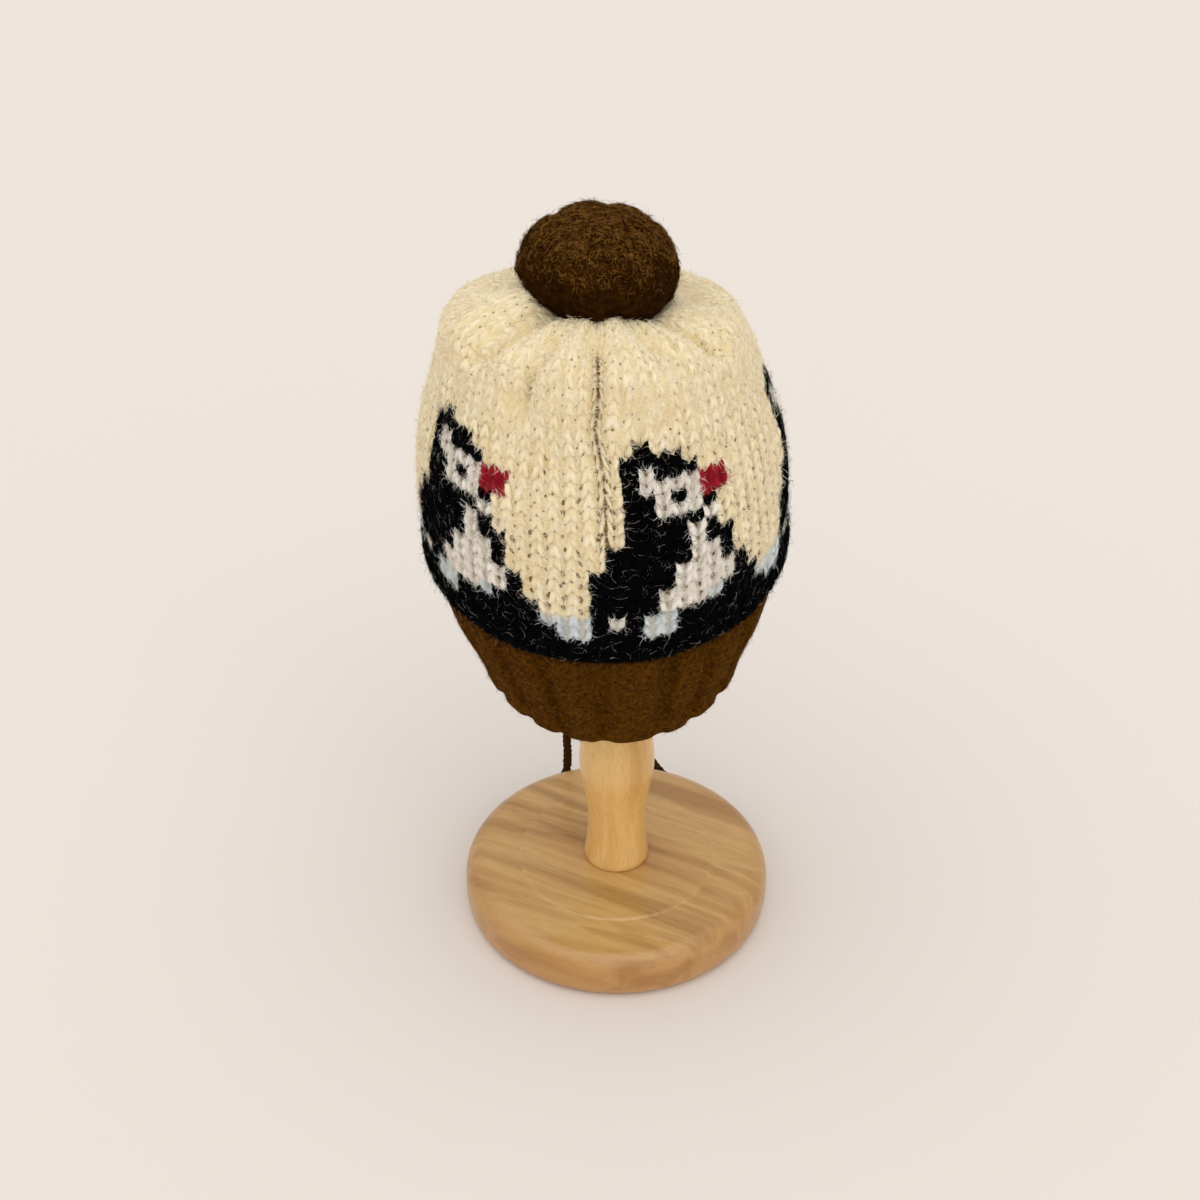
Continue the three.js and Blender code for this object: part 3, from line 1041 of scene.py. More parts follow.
@dataclass(frozen=True)
class Tie:
    """A knitted cord that hangs from the back of the rim and ends in a knot on the floor."""

    side: TieSide
    route: tuple[tuple[float, float, float], ...]
    diameter: float = 4.6
    columns: int = 4
    row_height: float = 3.3
    knot_half_length: float = 5.6
    knot_half_width: float = 4.4
    gap: float = 0.3
    line_steps: int = 12        # steps between two points of the route
    first_row: float = 0.4
    yarn_share: float = 0.42    # thickness of its yarn, as a share of the cord's
    core_sink: float = 0.12     # how far the core lies below the round, as a share of the diameter
    core_sides: int = 10
    knot_strand: float = 0.4    # half thickness of the cord in the knot, as a share of the diameter
    knot_steps: int = 72

    def build(self, wool: bpy.types.Material, chance: np.random.Generator) -> None:
        """Makes the cord and its knot.

        Args:
            wool: The cord's finish.
            chance: Source of small differences between stitches.
        """
        line = smooth_line(self.route, self.line_steps)
        length = float(np.linalg.norm(np.diff(line, axis=0), axis=1).sum())
        cord = make_piece(
            f"tie_{self.side.value}_cord", self.cord_shell(line, length, chance), wool,
            [f"tie_{self.side.value}"])
        knot = make_piece(
            f"tie_{self.side.value}_knot", self.knot_shell(line), wool,
            [f"tie_knot_{self.side.value}"])

    def cord_shell(self, line: Array, length: float, chance: np.random.Generator) -> Shell:
        """The knitted cord: a plain core with stitches all round it.

        Args:
            line: Points along its middle.
            length: Its length.
            chance: Source of small differences between stitches.

        Returns:
            The cord as one shell.
        """
        ground = CordGround(line, self.diameter / 2, self.columns, self.row_height)
        rows = int(length / self.row_height)
        column, row = np.meshgrid(np.arange(self.columns) + 0.5, np.arange(rows) + self.first_row)
        width = math.pi * self.diameter / self.columns
        stitch = VStitch(
            width, self.row_height, self.yarn_share * self.diameter, proud=0.1, rings=4, sides=5)
        stitches = Shell.joined(stitch.lay(column.ravel(), row.ravel(), ground, chance))
        round_turn, along = np.meshgrid(
            np.linspace(0, self.columns, self.core_sides, endpoint=False),
            np.linspace(0, length / self.row_height, 2 * rows))
        sunk = np.full(along.shape, -self.core_sink * self.diameter)
        core = Shell.grid(ground.place(round_turn, along, sunk))
        return Shell.joined([core, stitches])

    def knot_shell(self, line: Array) -> Shell:
        """The overhand knot, pulled tight, just past the end of the cord.

        Args:
            line: Points along the cord's middle.

        Returns:
            The knot as one closed tube.
        """
        ahead = unit((line[-1] - line[-4]) * (1, 1, 0))
        seat = line[-1] + ahead * (self.knot_half_length + self.gap)
        seat[2] = self.knot_half_width
        t = np.linspace(0, 2 * math.pi, self.knot_steps, endpoint=False)
        loops = np.stack(
            [np.sin(t) + 2 * np.sin(2 * t), np.cos(t) - 2 * np.cos(2 * t), -np.sin(3 * t)], axis=1)
        thick = self.knot_strand * self.diameter
        reach = np.array([self.knot_half_length, self.knot_half_width, self.knot_half_width]) - thick
        loops = loops / np.abs(loops).max(axis=0) * reach
        side = np.cross((0, 0, 1), ahead)
        middle = seat + loops[:, :1] * ahead + loops[:, 1:2] * side + loops[:, 2:] * np.array([[0, 0, 1.0]])
        forward = unit(np.roll(middle, -1, axis=0) - np.roll(middle, 1, axis=0))
        across = unit(np.cross(forward, middle - seat))
        beside = np.cross(forward, across)
        turn = np.linspace(0, 2 * math.pi, self.core_sides, endpoint=False)
        rings = middle[:, None] + thick * (
            across[:, None] * np.cos(turn)[None, :, None] + beside[:, None] * np.sin(turn)[None, :, None])
        return Shell.grid(rings, closed=True)


class Yarn(Enum):
    """The yarns of the crown, by their letter in the chart."""

    ECRU = "."
    BLACK = "K"
    WHITE = "W"
    BLUE = "B"
    RED = "R"


@dataclass(frozen=True)
class CrownGround:
    """The cloth of the crown as a ground for stitches."""

    form: HatForm
    columns: int
    row_height: float           # along the front of the hat
    first_edge: float           # degrees from the front to the left edge of column 0
    stitch_width: float         # of a stitch at full size
    hem_roll: float
    hem_rows: float
    sway_reach: float = 12.0    # degrees on both sides of a crease over which the columns lean with it
    narrowest: float = 0.35     # the yarn is never drawn thinner than this share

    def where(self, column: Array, row: Array) -> tuple[Array, Array]:
        """Finds stitches on the hat.

        Args:
            column: Stitches round the hat.
            row: Rows up from the hem.

        Returns:
            Places in the table of sections, and directions in radians.
        """
        places, lengths = self.form.length_table(0.0)
        start = np.interp(self.form.junction, places, lengths)
        place = np.interp(start + row * self.row_height, lengths, places)
        step = 360 / self.columns
        turn = self.first_edge + column * step
        for crease in self.form.creases:
            if crease.sways:
                crease_places, crease_turns = np.array(crease.line).T
                edge = self.first_edge + step * round((crease_turns.mean() - self.first_edge) / step)
                aside = (turn - edge + 180) % 360 - 180
                sway = np.interp(place, crease_places, crease_turns) - edge
                turn = turn + np.exp(-((aside / self.sway_reach) ** 2)) * sway * crease.share(place)
        return place, np.radians(turn)

    def place(self, column: Array, row: Array, lift: Array) -> Array:
        """Points at a height above the cloth, thinner where the gather draws the stitches together.

        Args:
            column: Stitches round the hat.
            row: Rows up from the hem.
            lift: Heights above the cloth.

        Returns:
            The points, on the last axis.
        """
        place, angle = self.where(column, row)
        roll = self.hem_roll * (1 - smoothstep(row, 0, self.hem_rows))
        sunk = self.form.fold_depth(place, angle) + self.form.drawn_in(self.form.creases, place, angle)
        out = lift * self.crowding(place) + roll - sunk
        return self.form.point(place, angle) + self.form.normal(place, angle) * out[..., None]

    def crowding(self, place: Array) -> Array:
        """The width of a stitch as a share of its full width, at places in the table."""
        width = 2 * math.pi * self.form.section(place)[..., 1] / self.columns
        return np.clip(width / self.stitch_width, self.narrowest, 1.0)

    def outward(self, column: Array, row: Array) -> Array:
        """Directions out of the cloth."""
        return self.form.normal(*self.where(column, row))

    def rows_to(self, place: float) -> int:
        """Counts the rows of the crown.

        Args:
            place: A place in the table of sections.

        Returns:
            How many whole rows fit between the junction and that place.
        """
        places, lengths = self.form.length_table(0.0)
        span = np.interp(place, places, lengths) - np.interp(self.form.junction, places, lengths)
        return int(span / self.row_height)


@dataclass(frozen=True)
class Crown:
    """The stranded stockinette crown: a backing wall and every stitch of its face, by yarn."""

    form: HatForm
    wall: float = 4.5
    columns: int = 70
    figure_columns: int = 14
    row_height: float = 5.35
    first_edge: float = -3.8
    border_yarn: float = 3.0    # thinner, because the cloth is stretched over the widest part
    border_bed: float = 0.32    # depth of the bed behind the legs, in yarns
    top_yarn: float = 3.3
    top_bed: float = 0.12
    pinhole_shade: Pinholes = Pinholes()
    open_low: float = 1.15      # size of the gaps at the widest part
    open_high: float = 0.33     # and near the pompom, where the cloth is crowded
    open_rows: tuple[float, float] = (7.0, 22.0)
    fibres: int = 54            # fibres a stitch at full size
    top_fibres: int = 96
    last_place: float = 13.2    # no stitches are seen beyond this place, under the pompom
    backing_lift: float = -2.4  # the backing lies this far below the surface
    hem_roll: float = 2.3       # the lowest rows roll out this far over the band
    hem_rows: float = 2.4
    widest: int = 4             # row of the table where the hat is widest
    backing_edges: tuple[float, float] = (0.3, 0.02)    # how far it stops inside the junction and gather
    backing_rings: int = 46
    backing_facets: int = 132
    fibre_lift: float = 0.1
    hairs_a_stitch: int = 3
    short_fuzz: Fuzz = Fuzz(1.6, 5.0, 0.19, 0.3)
    top_fuzz: Fuzz = Fuzz(1.3, 4.2, 0.19, 0.3)
    long_hairs: Fuzz = Fuzz(1.5, 7.0, 0.045, 0.14, stray_share=0.1, stray_stand=0.35, curl=0.4, steps=3)
    # One figure of the border from the top row down. It repeats five times round the hat.
    chart: tuple[str, ...] = (
        "...K..........",
        "..KKKK........",
        "..KWKKK.......",
        "..KWWWWRR.....",
        "..KKWKWRR.....",
        "..KKWWWK......",
        "..KKKKKW......",
        "..KKKKWK......",
        ".KKKKKWKK.....",
        ".KKKKKWWK.....",
        "KKKKKWWWK.....",
        "KKKKKWWWWK....",
        "KKKKWWWWWK....",
        "KKKKWWWBKKK...",
        "KWKBBKKKKKKBBB",
        "KKKBBKKKKKKKBB",
        "KKKKKKKKKKKKKK",
        "KKKKKKKKKKKKKK",
    )

    def yarn_at(self, column: int, row: int) -> Yarn:
        """Reads the chart.

        Args:
            column: The stitch, counted round the hat.
            row: Its row, counted from the hem.

        Returns:
            The yarn of that stitch.
        """
        if row >= len(self.chart):
            return Yarn.ECRU
        return Yarn(self.chart[len(self.chart) - 1 - row][column % self.figure_columns])

    def build(
        self, finishes: dict[Yarn, bpy.types.Material], matted: dict[Yarn, bpy.types.Material],
        halo: bpy.types.Material, backing: bpy.types.Material, chance: np.random.Generator,
    ) -> None:
        """Makes the backing, the stitches, the painted shade of their gaps and their fibres.

        Args:
            finishes: The finish of each yarn.
            matted: For each yarn where it differs, a darker copy for the felt behind the legs: painted
                shade.
            halo: A paler copy of the cream yarn for its loose fibres: painted highlight.
            backing: A dark tan for the backing and the gaps: painted shade of the cloth's depth.
            chance: Source of small differences between stitches.
        """
        width = 2 * math.pi * self.form.sections[self.widest][1] / self.columns
        ground = CrownGround(
            self.form, self.columns, self.row_height, self.first_edge, width, self.hem_roll, self.hem_rows)
        # the backing is painted shade: a dark tan seen between the stitches, and inside the hat
        make_piece("crown_backing", self.backing_shell(), backing, ["crown"])
        rows = ground.rows_to(self.last_place)
        border = len(self.chart)
        for yarn in Yarn:
            cells = [(c, r) for r in range(rows) for c in range(self.columns) if self.yarn_at(c, r) is yarn]
            low = [cell for cell in cells if cell[1] < border]
            high = [cell for cell in cells if cell[1] >= border]
            for ending, group, size, bed, each, fuzz in (
                ("border", low, self.border_yarn, self.border_bed, self.fibres, self.short_fuzz),
                ("top", high, self.top_yarn, self.top_bed, self.top_fibres, self.top_fuzz),
            ):
                if not group:
                    continue
                stitch = VStitch(width, self.row_height, size, bed_depth=bed)
                place = np.array(group, float)
                columns, bottoms = place[:, 0] + 0.5, place[:, 1]
                legs, beds = stitch.lay(columns, bottoms, ground, chance)
                name = f"crown_{yarn.name.lower()}_{ending}"
                make_piece(f"{name}_stitches", legs, finishes[yarn])
                # the beds take a darker copy of their yarn where one is given: painted shade behind the legs
                make_piece(f"{name}_beds", beds, matted.get(yarn, finishes[yarn]))
                roots = self.fibre_roots(ground, columns, bottoms, each, chance)
                # the cream's loose fibres take a paler copy of it: painted highlight
                loose = halo if yarn is Yarn.ECRU else finishes[yarn]
                make_piece(f"{name}_fuzz", fuzz.strands(*roots, chance), loose)
                if yarn in (Yarn.ECRU, Yarn.WHITE):
                    # the gaps are flat dark dots of painted shade
                    closing = smoothstep(bottoms, *self.open_rows)
                    gaps = self.open_low + (self.open_high - self.open_low) * closing
                    dots = self.pinhole_shade.dots(columns, bottoms, gaps, -bed * size, stitch, ground, chance)
                    make_piece(f"{name}_pinholes", dots, backing)
        columns, bottoms = np.meshgrid(np.arange(self.columns) + 0.5, np.arange(border))
        roots = self.fibre_roots(ground, columns.ravel(), bottoms.ravel(), self.hairs_a_stitch, chance)
        make_piece("crown_long_hairs", self.long_hairs.strands(*roots, chance), finishes[Yarn.WHITE])

    def fibre_roots(
        self, ground: CrownGround, columns: Array, bottoms: Array, each: int, chance: np.random.Generator
    ) -> tuple[Array, Array]:
        """Places on the stitches where fibres come out.

        Args:
            ground: The crown's cloth.
            columns: The middle of each stitch.
            bottoms: The bottom row of each stitch.
            each: How many fibres a stitch has.
            chance: Source of the places.

        Returns:
            The places and their outward directions.
        """
        column = np.repeat(columns, each) + chance.uniform(-0.5, 0.5, len(columns) * each)
        row = np.repeat(bottoms, each) + chance.uniform(0, 1, len(columns) * each)
        kept = chance.random(len(column)) < ground.crowding(ground.where(column, row)[0]) ** 2
        column, row = column[kept], row[kept]
        lift = np.full(len(column), self.fibre_lift)
        return ground.place(column, row, lift), ground.outward(column, row)

    def backing_shell(self) -> Shell:
        """The wall behind the stitches.

        Returns:
            Its inside and outside, from the junction to the gather, joined at the gather.
        """
        low, high = self.backing_edges
        places = np.linspace(self.form.junction + low, self.form.gather - high, self.backing_rings)
        angles = np.linspace(0, 2 * math.pi, self.backing_facets, endpoint=False)
        place, angle = np.meshgrid(places, angles, indexing="ij")
        fold = self.form.fold_depth(place, angle)
        point, normal = self.form.point(place, angle), self.form.normal(place, angle)
        outside = point + normal * (self.backing_lift - fold)[..., None]
        inside = point - normal * (self.wall + fold)[..., None]
        return Shell.grid(np.concatenate([inside[::-1], outside]))


@dataclass(frozen=True)
class RibbedBand:
    """The felted two-by-two rib below the crown, with its rounded rim."""

    form: HatForm
    wall: float = 5.0
    # degrees of the grooves between the ribs, uneven at the front where the felt has shrunk
    grooves: tuple[float, ...] = (
        -161.5, -143.5, -125.5, -107.5, -89.5, -72, -55, -38, -21.5, -3.5,
        21.6, 36.6, 54.5, 72.5, 90.5, 108.5, 126.5, 144.5, 162.5, 180.5,
    )
    groove_depth: float = 4.8
    groove_flat: float = 0.04   # half widths of a groove's floor and mouth, in ribs
    groove_edge: float = 0.26
    rim_share: float = 0.35     # share of a groove's depth that is left at the rim
    top_tuck: float = 1.2       # the top edge goes this far in, under the crown's hem
    row_height: float = 5.0
    stitch_relief: float = 0.16
    rib_points: int = 18
    rows: int = 60
    fuzz: Fuzz = Fuzz(1.0, 3.6, 0.13, 0.14)
    fibres: int = 13000
    pale_fibres: int = 7000
    inside_rows: int = 24
    rim_steps: int = 9
    top_gap: float = 0.02       # places below the junction where the band ends
    tuck_reach: float = 0.35    # places over which the top edge goes in
    axis_section: int = 2       # row of the table that gives the band's middle
    thinnest: float = 0.6       # the felt is never thinner than this in a groove
    rim_place: float = 0.15     # the rim's rounding begins at this place in the table

    @property
    def ribs(self) -> int:
        """How many ribs go round the band."""
        return len(self.grooves)

    def rib_angle(self, rib: Array) -> Array:
        """Directions of places counted in ribs, in radians."""
        marks = [*self.grooves, self.grooves[0] + 360]
        return np.radians(np.interp(rib, np.arange(len(marks)), marks))

    def hollow(self, rib: Array) -> Array:
        """1 in the groove between two ribs, 0 on a rib's flat."""
        return 1 - smoothstep(np.abs(rib - np.round(rib)), self.groove_flat, self.groove_edge)

    def relief(self, rib: Array, height: Array) -> Array:
        """The faint stitches that felting has left on the ribs.

        Args:
            rib: Places round the band, counted in ribs.
            height: Distances along the cloth from the rim.

        Returns:
            Depths below the band's surface.
        """
        across = (rib * 2 - 0.5) % 1 * 2 - 1
        wave = np.cos(2 * math.pi * (height / self.row_height - 0.45 * np.abs(across)))
        edge = np.abs(across) ** 6
        return self.stitch_relief * (0.5 - 0.35 * wave * (1 - edge) + 0.6 * edge)

    def shell(self) -> Shell:
        """The band as one closed wall.

        Returns:
            Its outside, inside and rim.
        """
        top = self.form.junction - self.top_gap
        outside = np.linspace(self.rim_place, top, self.rows)
        inside = np.linspace(top, self.rim_place, self.inside_rows)
        share = np.linspace(0, 1, self.rim_steps)[1:-1]
        rim = np.linspace(0, math.pi, self.rim_steps)[1:-1]
        rim_places = self.rim_place * (1 - np.sin(rim))
        rim_insets = self.wall / 2 * (1 + np.cos(rim))
        places = np.concatenate([outside, inside, rim_places])
        insets = np.concatenate([np.zeros(len(outside)), np.full(len(inside), self.wall), rim_insets])
        carved = np.concatenate([np.ones(len(outside)), np.zeros(len(inside)), share])
        ribs = np.arange(self.ribs * self.rib_points) / self.rib_points
        place, rib = np.meshgrid(places, ribs, indexing="ij")
        table, lengths = self.form.length_table(0.0)
        height = np.interp(place, table, lengths)
        fade = self.rim_share + (1 - self.rim_share) * smoothstep(place, self.rim_place, 1.0)
        depth = fade * self.groove_depth * self.hollow(rib) + self.relief(rib, height)
        depth = depth + self.top_tuck * smoothstep(place, top - self.tuck_reach, top)
        depth = np.minimum(depth, self.wall - self.thinnest)
        inset = insets[:, None] + carved[:, None] * depth
        angle = self.rib_angle(rib)
        points = self.form.point(place, angle) - self.form.normal(place, angle) * inset[..., None]
        return Shell.grid(points, closed=True)

    def build(self, wool: bpy.types.Material, pale: bpy.types.Material, chance: np.random.Generator) -> None:
        """Makes the band and its fibres.

        Args:
            wool: The band's finish.
            pale: The finish of the paler fibres on it, a paler copy of its wool: painted highlight.
            chance: Source of the fibres' places.
        """
        shell = self.shell()
        make_piece("band_rib", shell, wool, ["ribbed_band"])
        seen = shell.points[: self.rows * self.ribs * self.rib_points]
        outward = unit((seen - (self.form.sections[self.axis_section][4], 0, 0)) * (1, 1, 0))
        # the pale fibres are a paler copy of the band's wool: painted highlight
        for name, finish, count in (("dark", wool, self.fibres), ("pale", pale, self.pale_fibres)):
            fuzz = self.fuzz.strands(*pick_roots(seen, outward, count, chance), chance)
            make_piece(f"band_{name}_fuzz", fuzz, finish)


@dataclass(frozen=True)
class Pompom:
    """The felted ball on top: its packed form, softened, matted and covered in short fibres."""

    voxel: float = 0.9
    softening: int = 10
    lump_size: float = 9.0
    lump_height: float = 0.9
    mat_size: float = 2.4
    mat_height: float = 0.9
    fuzz: Fuzz = Fuzz(1.5, 5.0, 0.14, 0.3, stray_share=0.15)
    fibres: int = 14000
    ends: Fuzz = Fuzz(1.5, 4.5, 0.2, 0.2, stray_share=0.05, stray_stand=0.4, curl=0.7, steps=3)
    end_count: int = 6500
    top_light_base: float = 0.2      # painted highlight: the paler ends are mostly on top, where the light falls, fewer below
    corner: tuple[float, float, float] = (-38.5, -4.0, 343.0)  # where the felt is pinched to a corner
    corner_reach: float = 11.0
    corner_pull: float = 2.6

    def softened(self) -> bpy.types.Mesh:
        """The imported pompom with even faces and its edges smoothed.

        Returns:
            A new mesh, in metres.
        """
        raw = bpy.data.objects.new("pompom_raw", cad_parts["pompom"].data.copy())
        add_to_scene(raw)
        remesh = raw.modifiers.new("even_faces", "REMESH")
        remesh.mode = "VOXEL"
        remesh.voxel_size = self.voxel * MM
        smooth = raw.modifiers.new("soft", "SMOOTH")
        smooth.iterations = self.softening
        mesh = bpy.data.meshes.new_from_object(raw.evaluated_get(bpy.context.evaluated_depsgraph_get()))
        bpy.data.objects.remove(raw)
        return mesh

    def build(self, wool: bpy.types.Material, pale: bpy.types.Material, chance: np.random.Generator) -> None:
        """Makes the ball and its fibres.

        Args:
            wool: The felt's finish.
            pale: The finish of the paler yarn ends on it, set mostly on top: painted highlight.
            chance: Source of the fibres' places.
        """
        mesh = self.softened()
        points = np.zeros(len(mesh.vertices) * 3)
        mesh.vertices.foreach_get("co", points)
        normals = np.zeros(len(mesh.vertices) * 3)
        mesh.vertices.foreach_get("normal", normals)
        points, normals = points.reshape(-1, 3) / MM, normals.reshape(-1, 3)
        quads = np.array([p.vertices for p in mesh.polygons if len(p.vertices) == 4])
        triangles = np.array([p.vertices for p in mesh.polygons if len(p.vertices) == 3]).reshape(-1, 3)
        lumps = np.array([noise.noise(Vector(p) / self.lump_size) for p in points])
        mats = np.array([noise.noise(Vector(p) / self.mat_size) for p in points])
        pinch = np.exp(-((np.linalg.norm(points - self.corner, axis=1) / self.corner_reach) ** 2))
        rise = self.lump_height * lumps + self.mat_height * mats + self.corner_pull * pinch
        points = points + normals * rise[:, None]
        felt = make_piece("pompom_felt", Shell(points, quads, triangles), wool, ["pompom"])
        bpy.data.meshes.remove(mesh)
        fuzz = self.fuzz.strands(*pick_roots(points, normals, self.fibres, chance), chance)
        make_piece("pompom_fuzz", fuzz, wool)
        # paler ends mostly on top, where the light falls: painted highlight
        lit_from_above = chance.random(len(points)) < np.clip(self.top_light_base + normals[:, 2], 0, 1) ** 2
        for name, finish, seen in (("dark", wool, slice(None)), ("pale", pale, lit_from_above)):
            roots = pick_roots(points[seen], normals[seen], self.end_count, chance)
            make_piece(f"pompom_{name}_ends", self.ends.strands(*roots, chance), finish)


def arc(points: Sequence[tuple[float, float]], steps: int) -> list[tuple[float, float]]:
    """A rounded stretch of an outline.

    Args:
        points: Its start, the corners that it leans towards, and its end.
        steps: How many steps it takes.

    Returns:
        Points of a Bezier curve, from its start to its end.
    """
    made = []
    for t in np.linspace(0, 1, steps + 1):
        line = np.array(points, float)
        while len(line) > 1:
            line = line[:-1] * (1 - t) + line[1:] * t
        made.append((float(line[0][0]), float(line[0][1])))
    return made


def turned(outline: Sequence[tuple[float, float]], facets: int) -> Shell:
    """A piece turned on the lathe.

    Args:
        outline: Radius and height, from the axis at the bottom to the axis at the top.
        facets: Faces round it.

    Returns:
        The closed solid.
    """
    inner = np.array(outline[1:-1], float)
    turn = np.linspace(0, 2 * math.pi, facets, endpoint=False)
    radius, height = inner[:, :1], np.repeat(inner[:, 1:], facets, axis=1)
    rings = np.stack([radius * np.cos(turn), radius * np.sin(turn), height], axis=-1)
    return Shell.grid(rings).capped((0, 0, outline[0][1]), (0, 0, outline[-1][1]), facets)


@dataclass(frozen=True)
class Stand:
    """The turned stand: a round base with a raised centre, a vase-shaped stem and a domed cap."""

    base_radius: float = 75.0
    base_height: float = 26.0
    low_round: float = 7.0
    low_rise: float = 9.0
    high_round: float = 11.0
    centre_radius: float = 47.7
    step: float = 1.0
    gap: float = 0.3
    foot_radius: float = 16.0
    foot_taper: float = 0.4
    foot_height: float = 3.0
    # radius and height of the turned swelling above the foot
    vase: tuple[tuple[float, float], ...] = (
        (14.2, 42), (14.0, 54), (15.8, 68), (18.0, 82), (17.2, 97), (14.0, 115))
    stem_top: float = 268.0
    cap_radius: float = 42.0
    cap_crown: float = 36.9
    cap_edge: float = 6.0
    base_facets: int = 160
    post_facets: int = 72

    def base_outline(self) -> list[tuple[float, float]]:
        """The base: rounded edges and a shallow step up to its centre.

        Returns:
            Radius and height, from the axis at the bottom to the axis at the top.
        """
        radius, rim = self.base_radius, self.base_height - self.step
        centre, soft = self.centre_radius, 0.5
        return [
            (0, 0), (radius - self.low_round - 8, 0),
            *arc([(radius - self.low_round, 0), (radius, 0), (radius, self.low_rise)], 8),
            *arc([(radius, rim - self.high_round), (radius, rim), (radius - self.high_round, rim)], 12),
            (centre + self.step + 2.5, rim),
            *arc(
                [(centre + self.step + soft, rim), (centre + self.step, rim), (centre + 0.7, rim + 0.3)], 3),
            *arc(
                [(centre + 0.3, rim + 0.7), (centre, rim + self.step), (centre - soft, rim + self.step)], 3),
            (centre - 3, self.base_height), (20, self.base_height), (0, self.base_height),
        ]

    def stem_outline(self) -> list[tuple[float, float]]:
        """The stem: a small foot, a slim waist, the swelling and a plain post.

        Returns:
            Radius and height, from the axis at the bottom to the axis at the top.
        """
        foot = self.base_height + self.gap
        collar = (self.foot_radius - self.foot_taper, foot + self.foot_height)
        swelling = [tuple(p) for p in smooth_line([collar, *self.vase], 8)]
        post, top = self.vase[-1][0], self.stem_top - self.gap
        return [
            (0, foot), (self.foot_radius - 0.4, foot), (self.foot_radius, foot + 0.5), *swelling,
            (post, top - 1), (post - 0.6, top), (0, top)]

    def cap_outline(self) -> list[tuple[float, float]]:
        """The cap: a plain dome inside the hat.

        Returns:
            Radius and height, from the axis at the bottom to the axis at the top.
        """
        radius, low, top = self.cap_radius, self.stem_top, self.stem_top + self.cap_crown
        edge = self.cap_edge
        return [
            (0, low), *arc([(radius - edge, low), (radius, low), (radius, low + edge)], 5),
            *arc([(radius, low + edge), (radius, top - edge), (0.6 * radius, top), (0, top)], 12)[1:]]

    def build(self, plank: bpy.types.Material, post: bpy.types.Material) -> None:
        """Makes the three pieces of the stand.

        Args:
            plank: Wood with its grain lying flat, for the base.
            post: Wood with its grain upright, for the stem and the cap.
        """
        make_piece("base_turned", turned(self.base_outline(), self.base_facets), plank, ["stand_base"])
        make_piece("stem_turned", turned(self.stem_outline(), self.post_facets), post, ["stand_stem"])
        make_piece("cap_turned", turned(self.cap_outline(), self.post_facets), post, ["stand_cap"])


@dataclass(frozen=True)
class Lamp:
    """One soft light of the studio, far enough away to light the whole floor evenly."""

    name: str
    comes_from: tuple[float, float, float]
    power: float                        # watts a square metre
    spread: float                       # degrees that the source spans, wide for soft shadows


@dataclass(frozen=True)
class Studio:
    """A pale floor, soft lights and the camera at the photograph's angle."""

    frame_side: float = 1200.0          # pixels of the photograph
    focal: float = 1772.3               # focal length in those pixels
    sensor: float = 36.0
    distance: float = 800.0
    pitch: float = 33.4                 # degrees that the camera looks down
    target: tuple[float, float, float] = (-8.1, 0.0, 175.7)
    floor_side: float = 12.0            # metres
    ambient: float = 0.65
    lamps: tuple[Lamp, ...] = (
        Lamp("soft_key", (-0.1, -0.22, 1.0), 1.05, 85.0),
        Lamp("front_fill", (0.3, -1.0, 0.5), 0.55, 70.0),
    )

    def place_camera(self) -> None:
        """Sets up the camera that took the picture."""
        data = bpy.data.cameras.new("photo_camera")
        data.sensor_width = self.sensor
        data.lens = self.focal / self.frame_side * self.sensor
        camera = bpy.data.objects.new("photo_camera", data)
        tilt = math.radians(self.pitch)
        back = Vector((0, -math.cos(tilt), math.sin(tilt)))
        camera.location = (Vector(self.target) + back * self.distance) * MM
        camera.rotation_euler = (math.pi / 2 - tilt, 0, 0)
        add_to_scene(camera)
        bpy.context.scene.camera = camera

    def light_up(self, paper: bpy.types.Material) -> None:
        """Lays the floor and hangs the lights.

        Args:
            paper: The floor's finish.
        """
        half = self.floor_side / 2
        mesh = bpy.data.meshes.new("floor")
        mesh.from_pydata(
            [(-half, -half, 0), (half, -half, 0), (half, half, 0), (-half, half, 0)], [], [(0, 1, 2, 3)])
        mesh.materials.append(paper)
        floor = bpy.data.objects.new("floor", mesh)
        add_to_scene(floor)
        for lamp in self.lamps:
            data = bpy.data.lights.new(lamp.name, "SUN")
            data.energy = lamp.power
            data.angle = math.radians(lamp.spread)
            light = bpy.data.objects.new(lamp.name, data)
            light.location = lamp.comes_from
            light.rotation_euler = (-Vector(lamp.comes_from)).to_track_quat("-Z", "Y").to_euler()
            add_to_scene(light)
        world = bpy.data.worlds.new("studio_air")
        world.use_nodes = True
        sky = world.node_tree.nodes["Background"]
        sky.inputs["Color"].default_value = (1, 1, 1, 1)
        sky.inputs["Strength"].default_value = self.ambient
        bpy.context.scene.world = world
        bpy.context.scene.view_settings.view_transform = "Standard"


TIE_ROUTES: dict[TieSide, tuple[tuple[float, float, float], ...]] = {
    TieSide.LEFT: (
        (-24.0, 71.4, 169.4), (-24.0, 71.9, 157.0), (-24.3, 73.0, 140.0), (-24.7, 73.9, 122.0),
        (-25.0, 74.7, 104.0), (-25.3, 75.5, 86.0), (-25.5, 76.2, 68.0), (-25.6, 77.0, 50.0),
        (-25.6, 77.7, 35.0), (-25.4, 78.2, 22.0), (-27.2, 78.4, 11.2), (-32.6, 76.8, 4.6),
        (-39.4, 73.4, 2.4), (-45.6, 69.0, 2.4), (-51.0, 64.0, 2.4),
    ),
    TieSide.RIGHT: (
        (1.0, 75.4, 171.2), (1.0, 75.7, 157.0), (1.1, 76.1, 140.0), (1.4, 76.4, 122.0),
        (2.0, 76.7, 104.0), (3.2, 77.0, 86.0), (5.2, 77.4, 68.0), (8.4, 77.9, 51.0),
        (12.8, 78.4, 36.0), (18.8, 78.8, 22.0), (26.2, 78.6, 11.0), (34.0, 76.6, 4.5),
        (41.0, 72.9, 2.4), (47.0, 68.2, 2.4), (52.0, 63.1, 2.4),
    ),
}

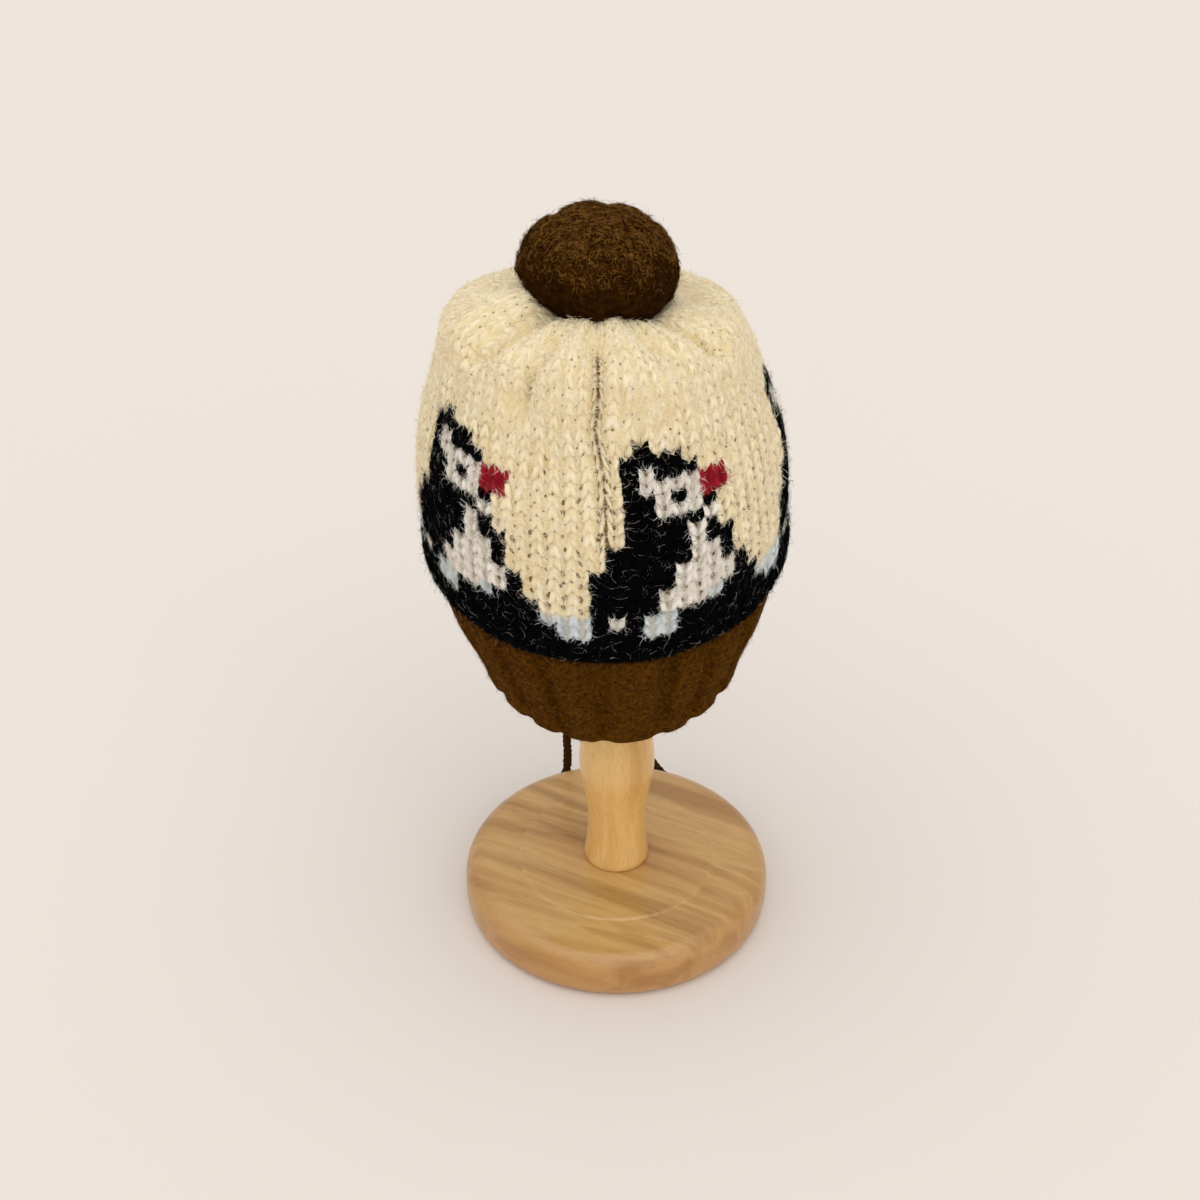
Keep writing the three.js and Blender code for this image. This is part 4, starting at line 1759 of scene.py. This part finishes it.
CREAM_WOOL = WoolFinish("cream_wool_felted", "fff2d2", "efdcae", bloom=0.2, tangle=1.1, relief=0.5)
# a darker copy of the cream wool for the beds behind the legs: painted shade
CREAM_BED_SHADE = WoolFinish("cream_wool_matted_behind_stitches", "f8e8c0", "e6d09c", bloom=0.1, tangle=1.1)
# a paler copy of the cream wool for its loose fibres: painted highlight
CREAM_HALO = WoolFinish("cream_wool_loose_fibres", "fff8e6", "fbebc8", bloom=0.2)
# dark tan for the backing and the gaps between the stitches: painted shade of the cloth's depth
CREAM_PAINTED_SHADE = WoolFinish("cream_wool_between_stitches", "8c6c3c", "6a4c22", bloom=0.05)
BLACK_WOOL = WoolFinish("black_wool_felted", "09090c", "020203", bloom=0.01, gloss=0.03)
WHITE_WOOL = WoolFinish("white_wool_felted", "fbf6ec", "e6ddd0", bloom=0.2, tangle=1.1, relief=0.5)
# painted shade between the legs of the white and blue stitches, partly the dark yarn carried behind that
# shows through
WHITE_BED_SHADE = WoolFinish("white_wool_matted", "ddd4c6", "bcb09c", bloom=0.1)
BLUE_WOOL = WoolFinish("pale_blue_wool_felted", "e8ebe8", "c6d0d2", bloom=0.2, tangle=1.1, relief=0.5)
RED_WOOL = WoolFinish("red_wool_felted", "b81a2c", "860a1a", bloom=0.1)
BROWN_RIB = WoolFinish(
    "brown_wool_rib_felted", "623c0a", "221001", bloom=0.02, bloom_tint="d8a860", mottle=2.2, tangle=0.9,
    gloss=0.03, drawn=(1.0, 1.0, 0.45))
# a paler copy of the band's wool for some of its fibres: painted highlight
PALE_RIB = WoolFinish(
    "golden_brown_wool_rib_fibres", "9a6a2a", "6a4412", bloom=0.05, bloom_tint="d8a860", gloss=0.05)
DARK_FELT = WoolFinish(
    "dark_brown_wool_rolled_and_felted", "492907", "100500", bloom=0.02, bloom_tint="d8a860", mottle=2.5,
    tangle=1.0, relief=0.8, gloss=0.03)
# a paler copy of the pompom's felt for the ends on its top: painted highlight
PALE_FELT = WoolFinish(
    "golden_brown_wool_ends_felted", "a67638", "7a5020", bloom=0.05, bloom_tint="d8a860", gloss=0.05)
BROWN_CORD = WoolFinish(
    "brown_wool_cord_knitted", "4a2e10", "2a1606", bloom=0.05, bloom_tint="d8a860", gloss=0.05)
# the last tone is the rim's: partly the wood's own warmer tone, partly painted shade
BASE_WOOD = TurnedWoodFinish(
    "rubberwood_plank_turned_and_varnished", Grain.ACROSS,
    ("9a6c30", "be8e4c", "d2a562", "ac7c3e"), "a46a2c")
POST_WOOD = TurnedWoodFinish(
    "rubberwood_post_turned_and_varnished", Grain.UPRIGHT,
    ("cc984e", "deac62", "e8ba72", "d4a054"), "a66c34")
FLOOR_PAPER = PaperFinish("studio_paper_matt", "e9e0d7")


def main() -> None:
    """Builds the camera and ties first, then the hat, the stand and the studio."""
    logging.basicConfig(level=logging.INFO, format="%(name)s %(message)s")
    chance = np.random.default_rng(7)
    studio = Studio()
    studio.place_camera()
    cord_wool = BROWN_CORD.material()
    for side, route in TIE_ROUTES.items():
        Tie(side, route).build(cord_wool, chance)
    form = HatForm()
    yarns = {
        Yarn.ECRU: CREAM_WOOL.material(), Yarn.BLACK: BLACK_WOOL.material(),
        Yarn.WHITE: WHITE_WOOL.material(), Yarn.BLUE: BLUE_WOOL.material(), Yarn.RED: RED_WOOL.material(),
    }
    shade = WHITE_BED_SHADE.material()
    matted = {Yarn.ECRU: CREAM_BED_SHADE.material(), Yarn.WHITE: shade, Yarn.BLUE: shade}
    Crown(form).build(yarns, matted, CREAM_HALO.material(), CREAM_PAINTED_SHADE.material(), chance)
    RibbedBand(form).build(BROWN_RIB.material(), PALE_RIB.material(), chance)
    Pompom().build(DARK_FELT.material(), PALE_FELT.material(), chance)
    Stand().build(BASE_WOOD.material(), POST_WOOD.material())
    studio.light_up(FLOOR_PAPER.material())


if __name__ == "__main__":
    main()
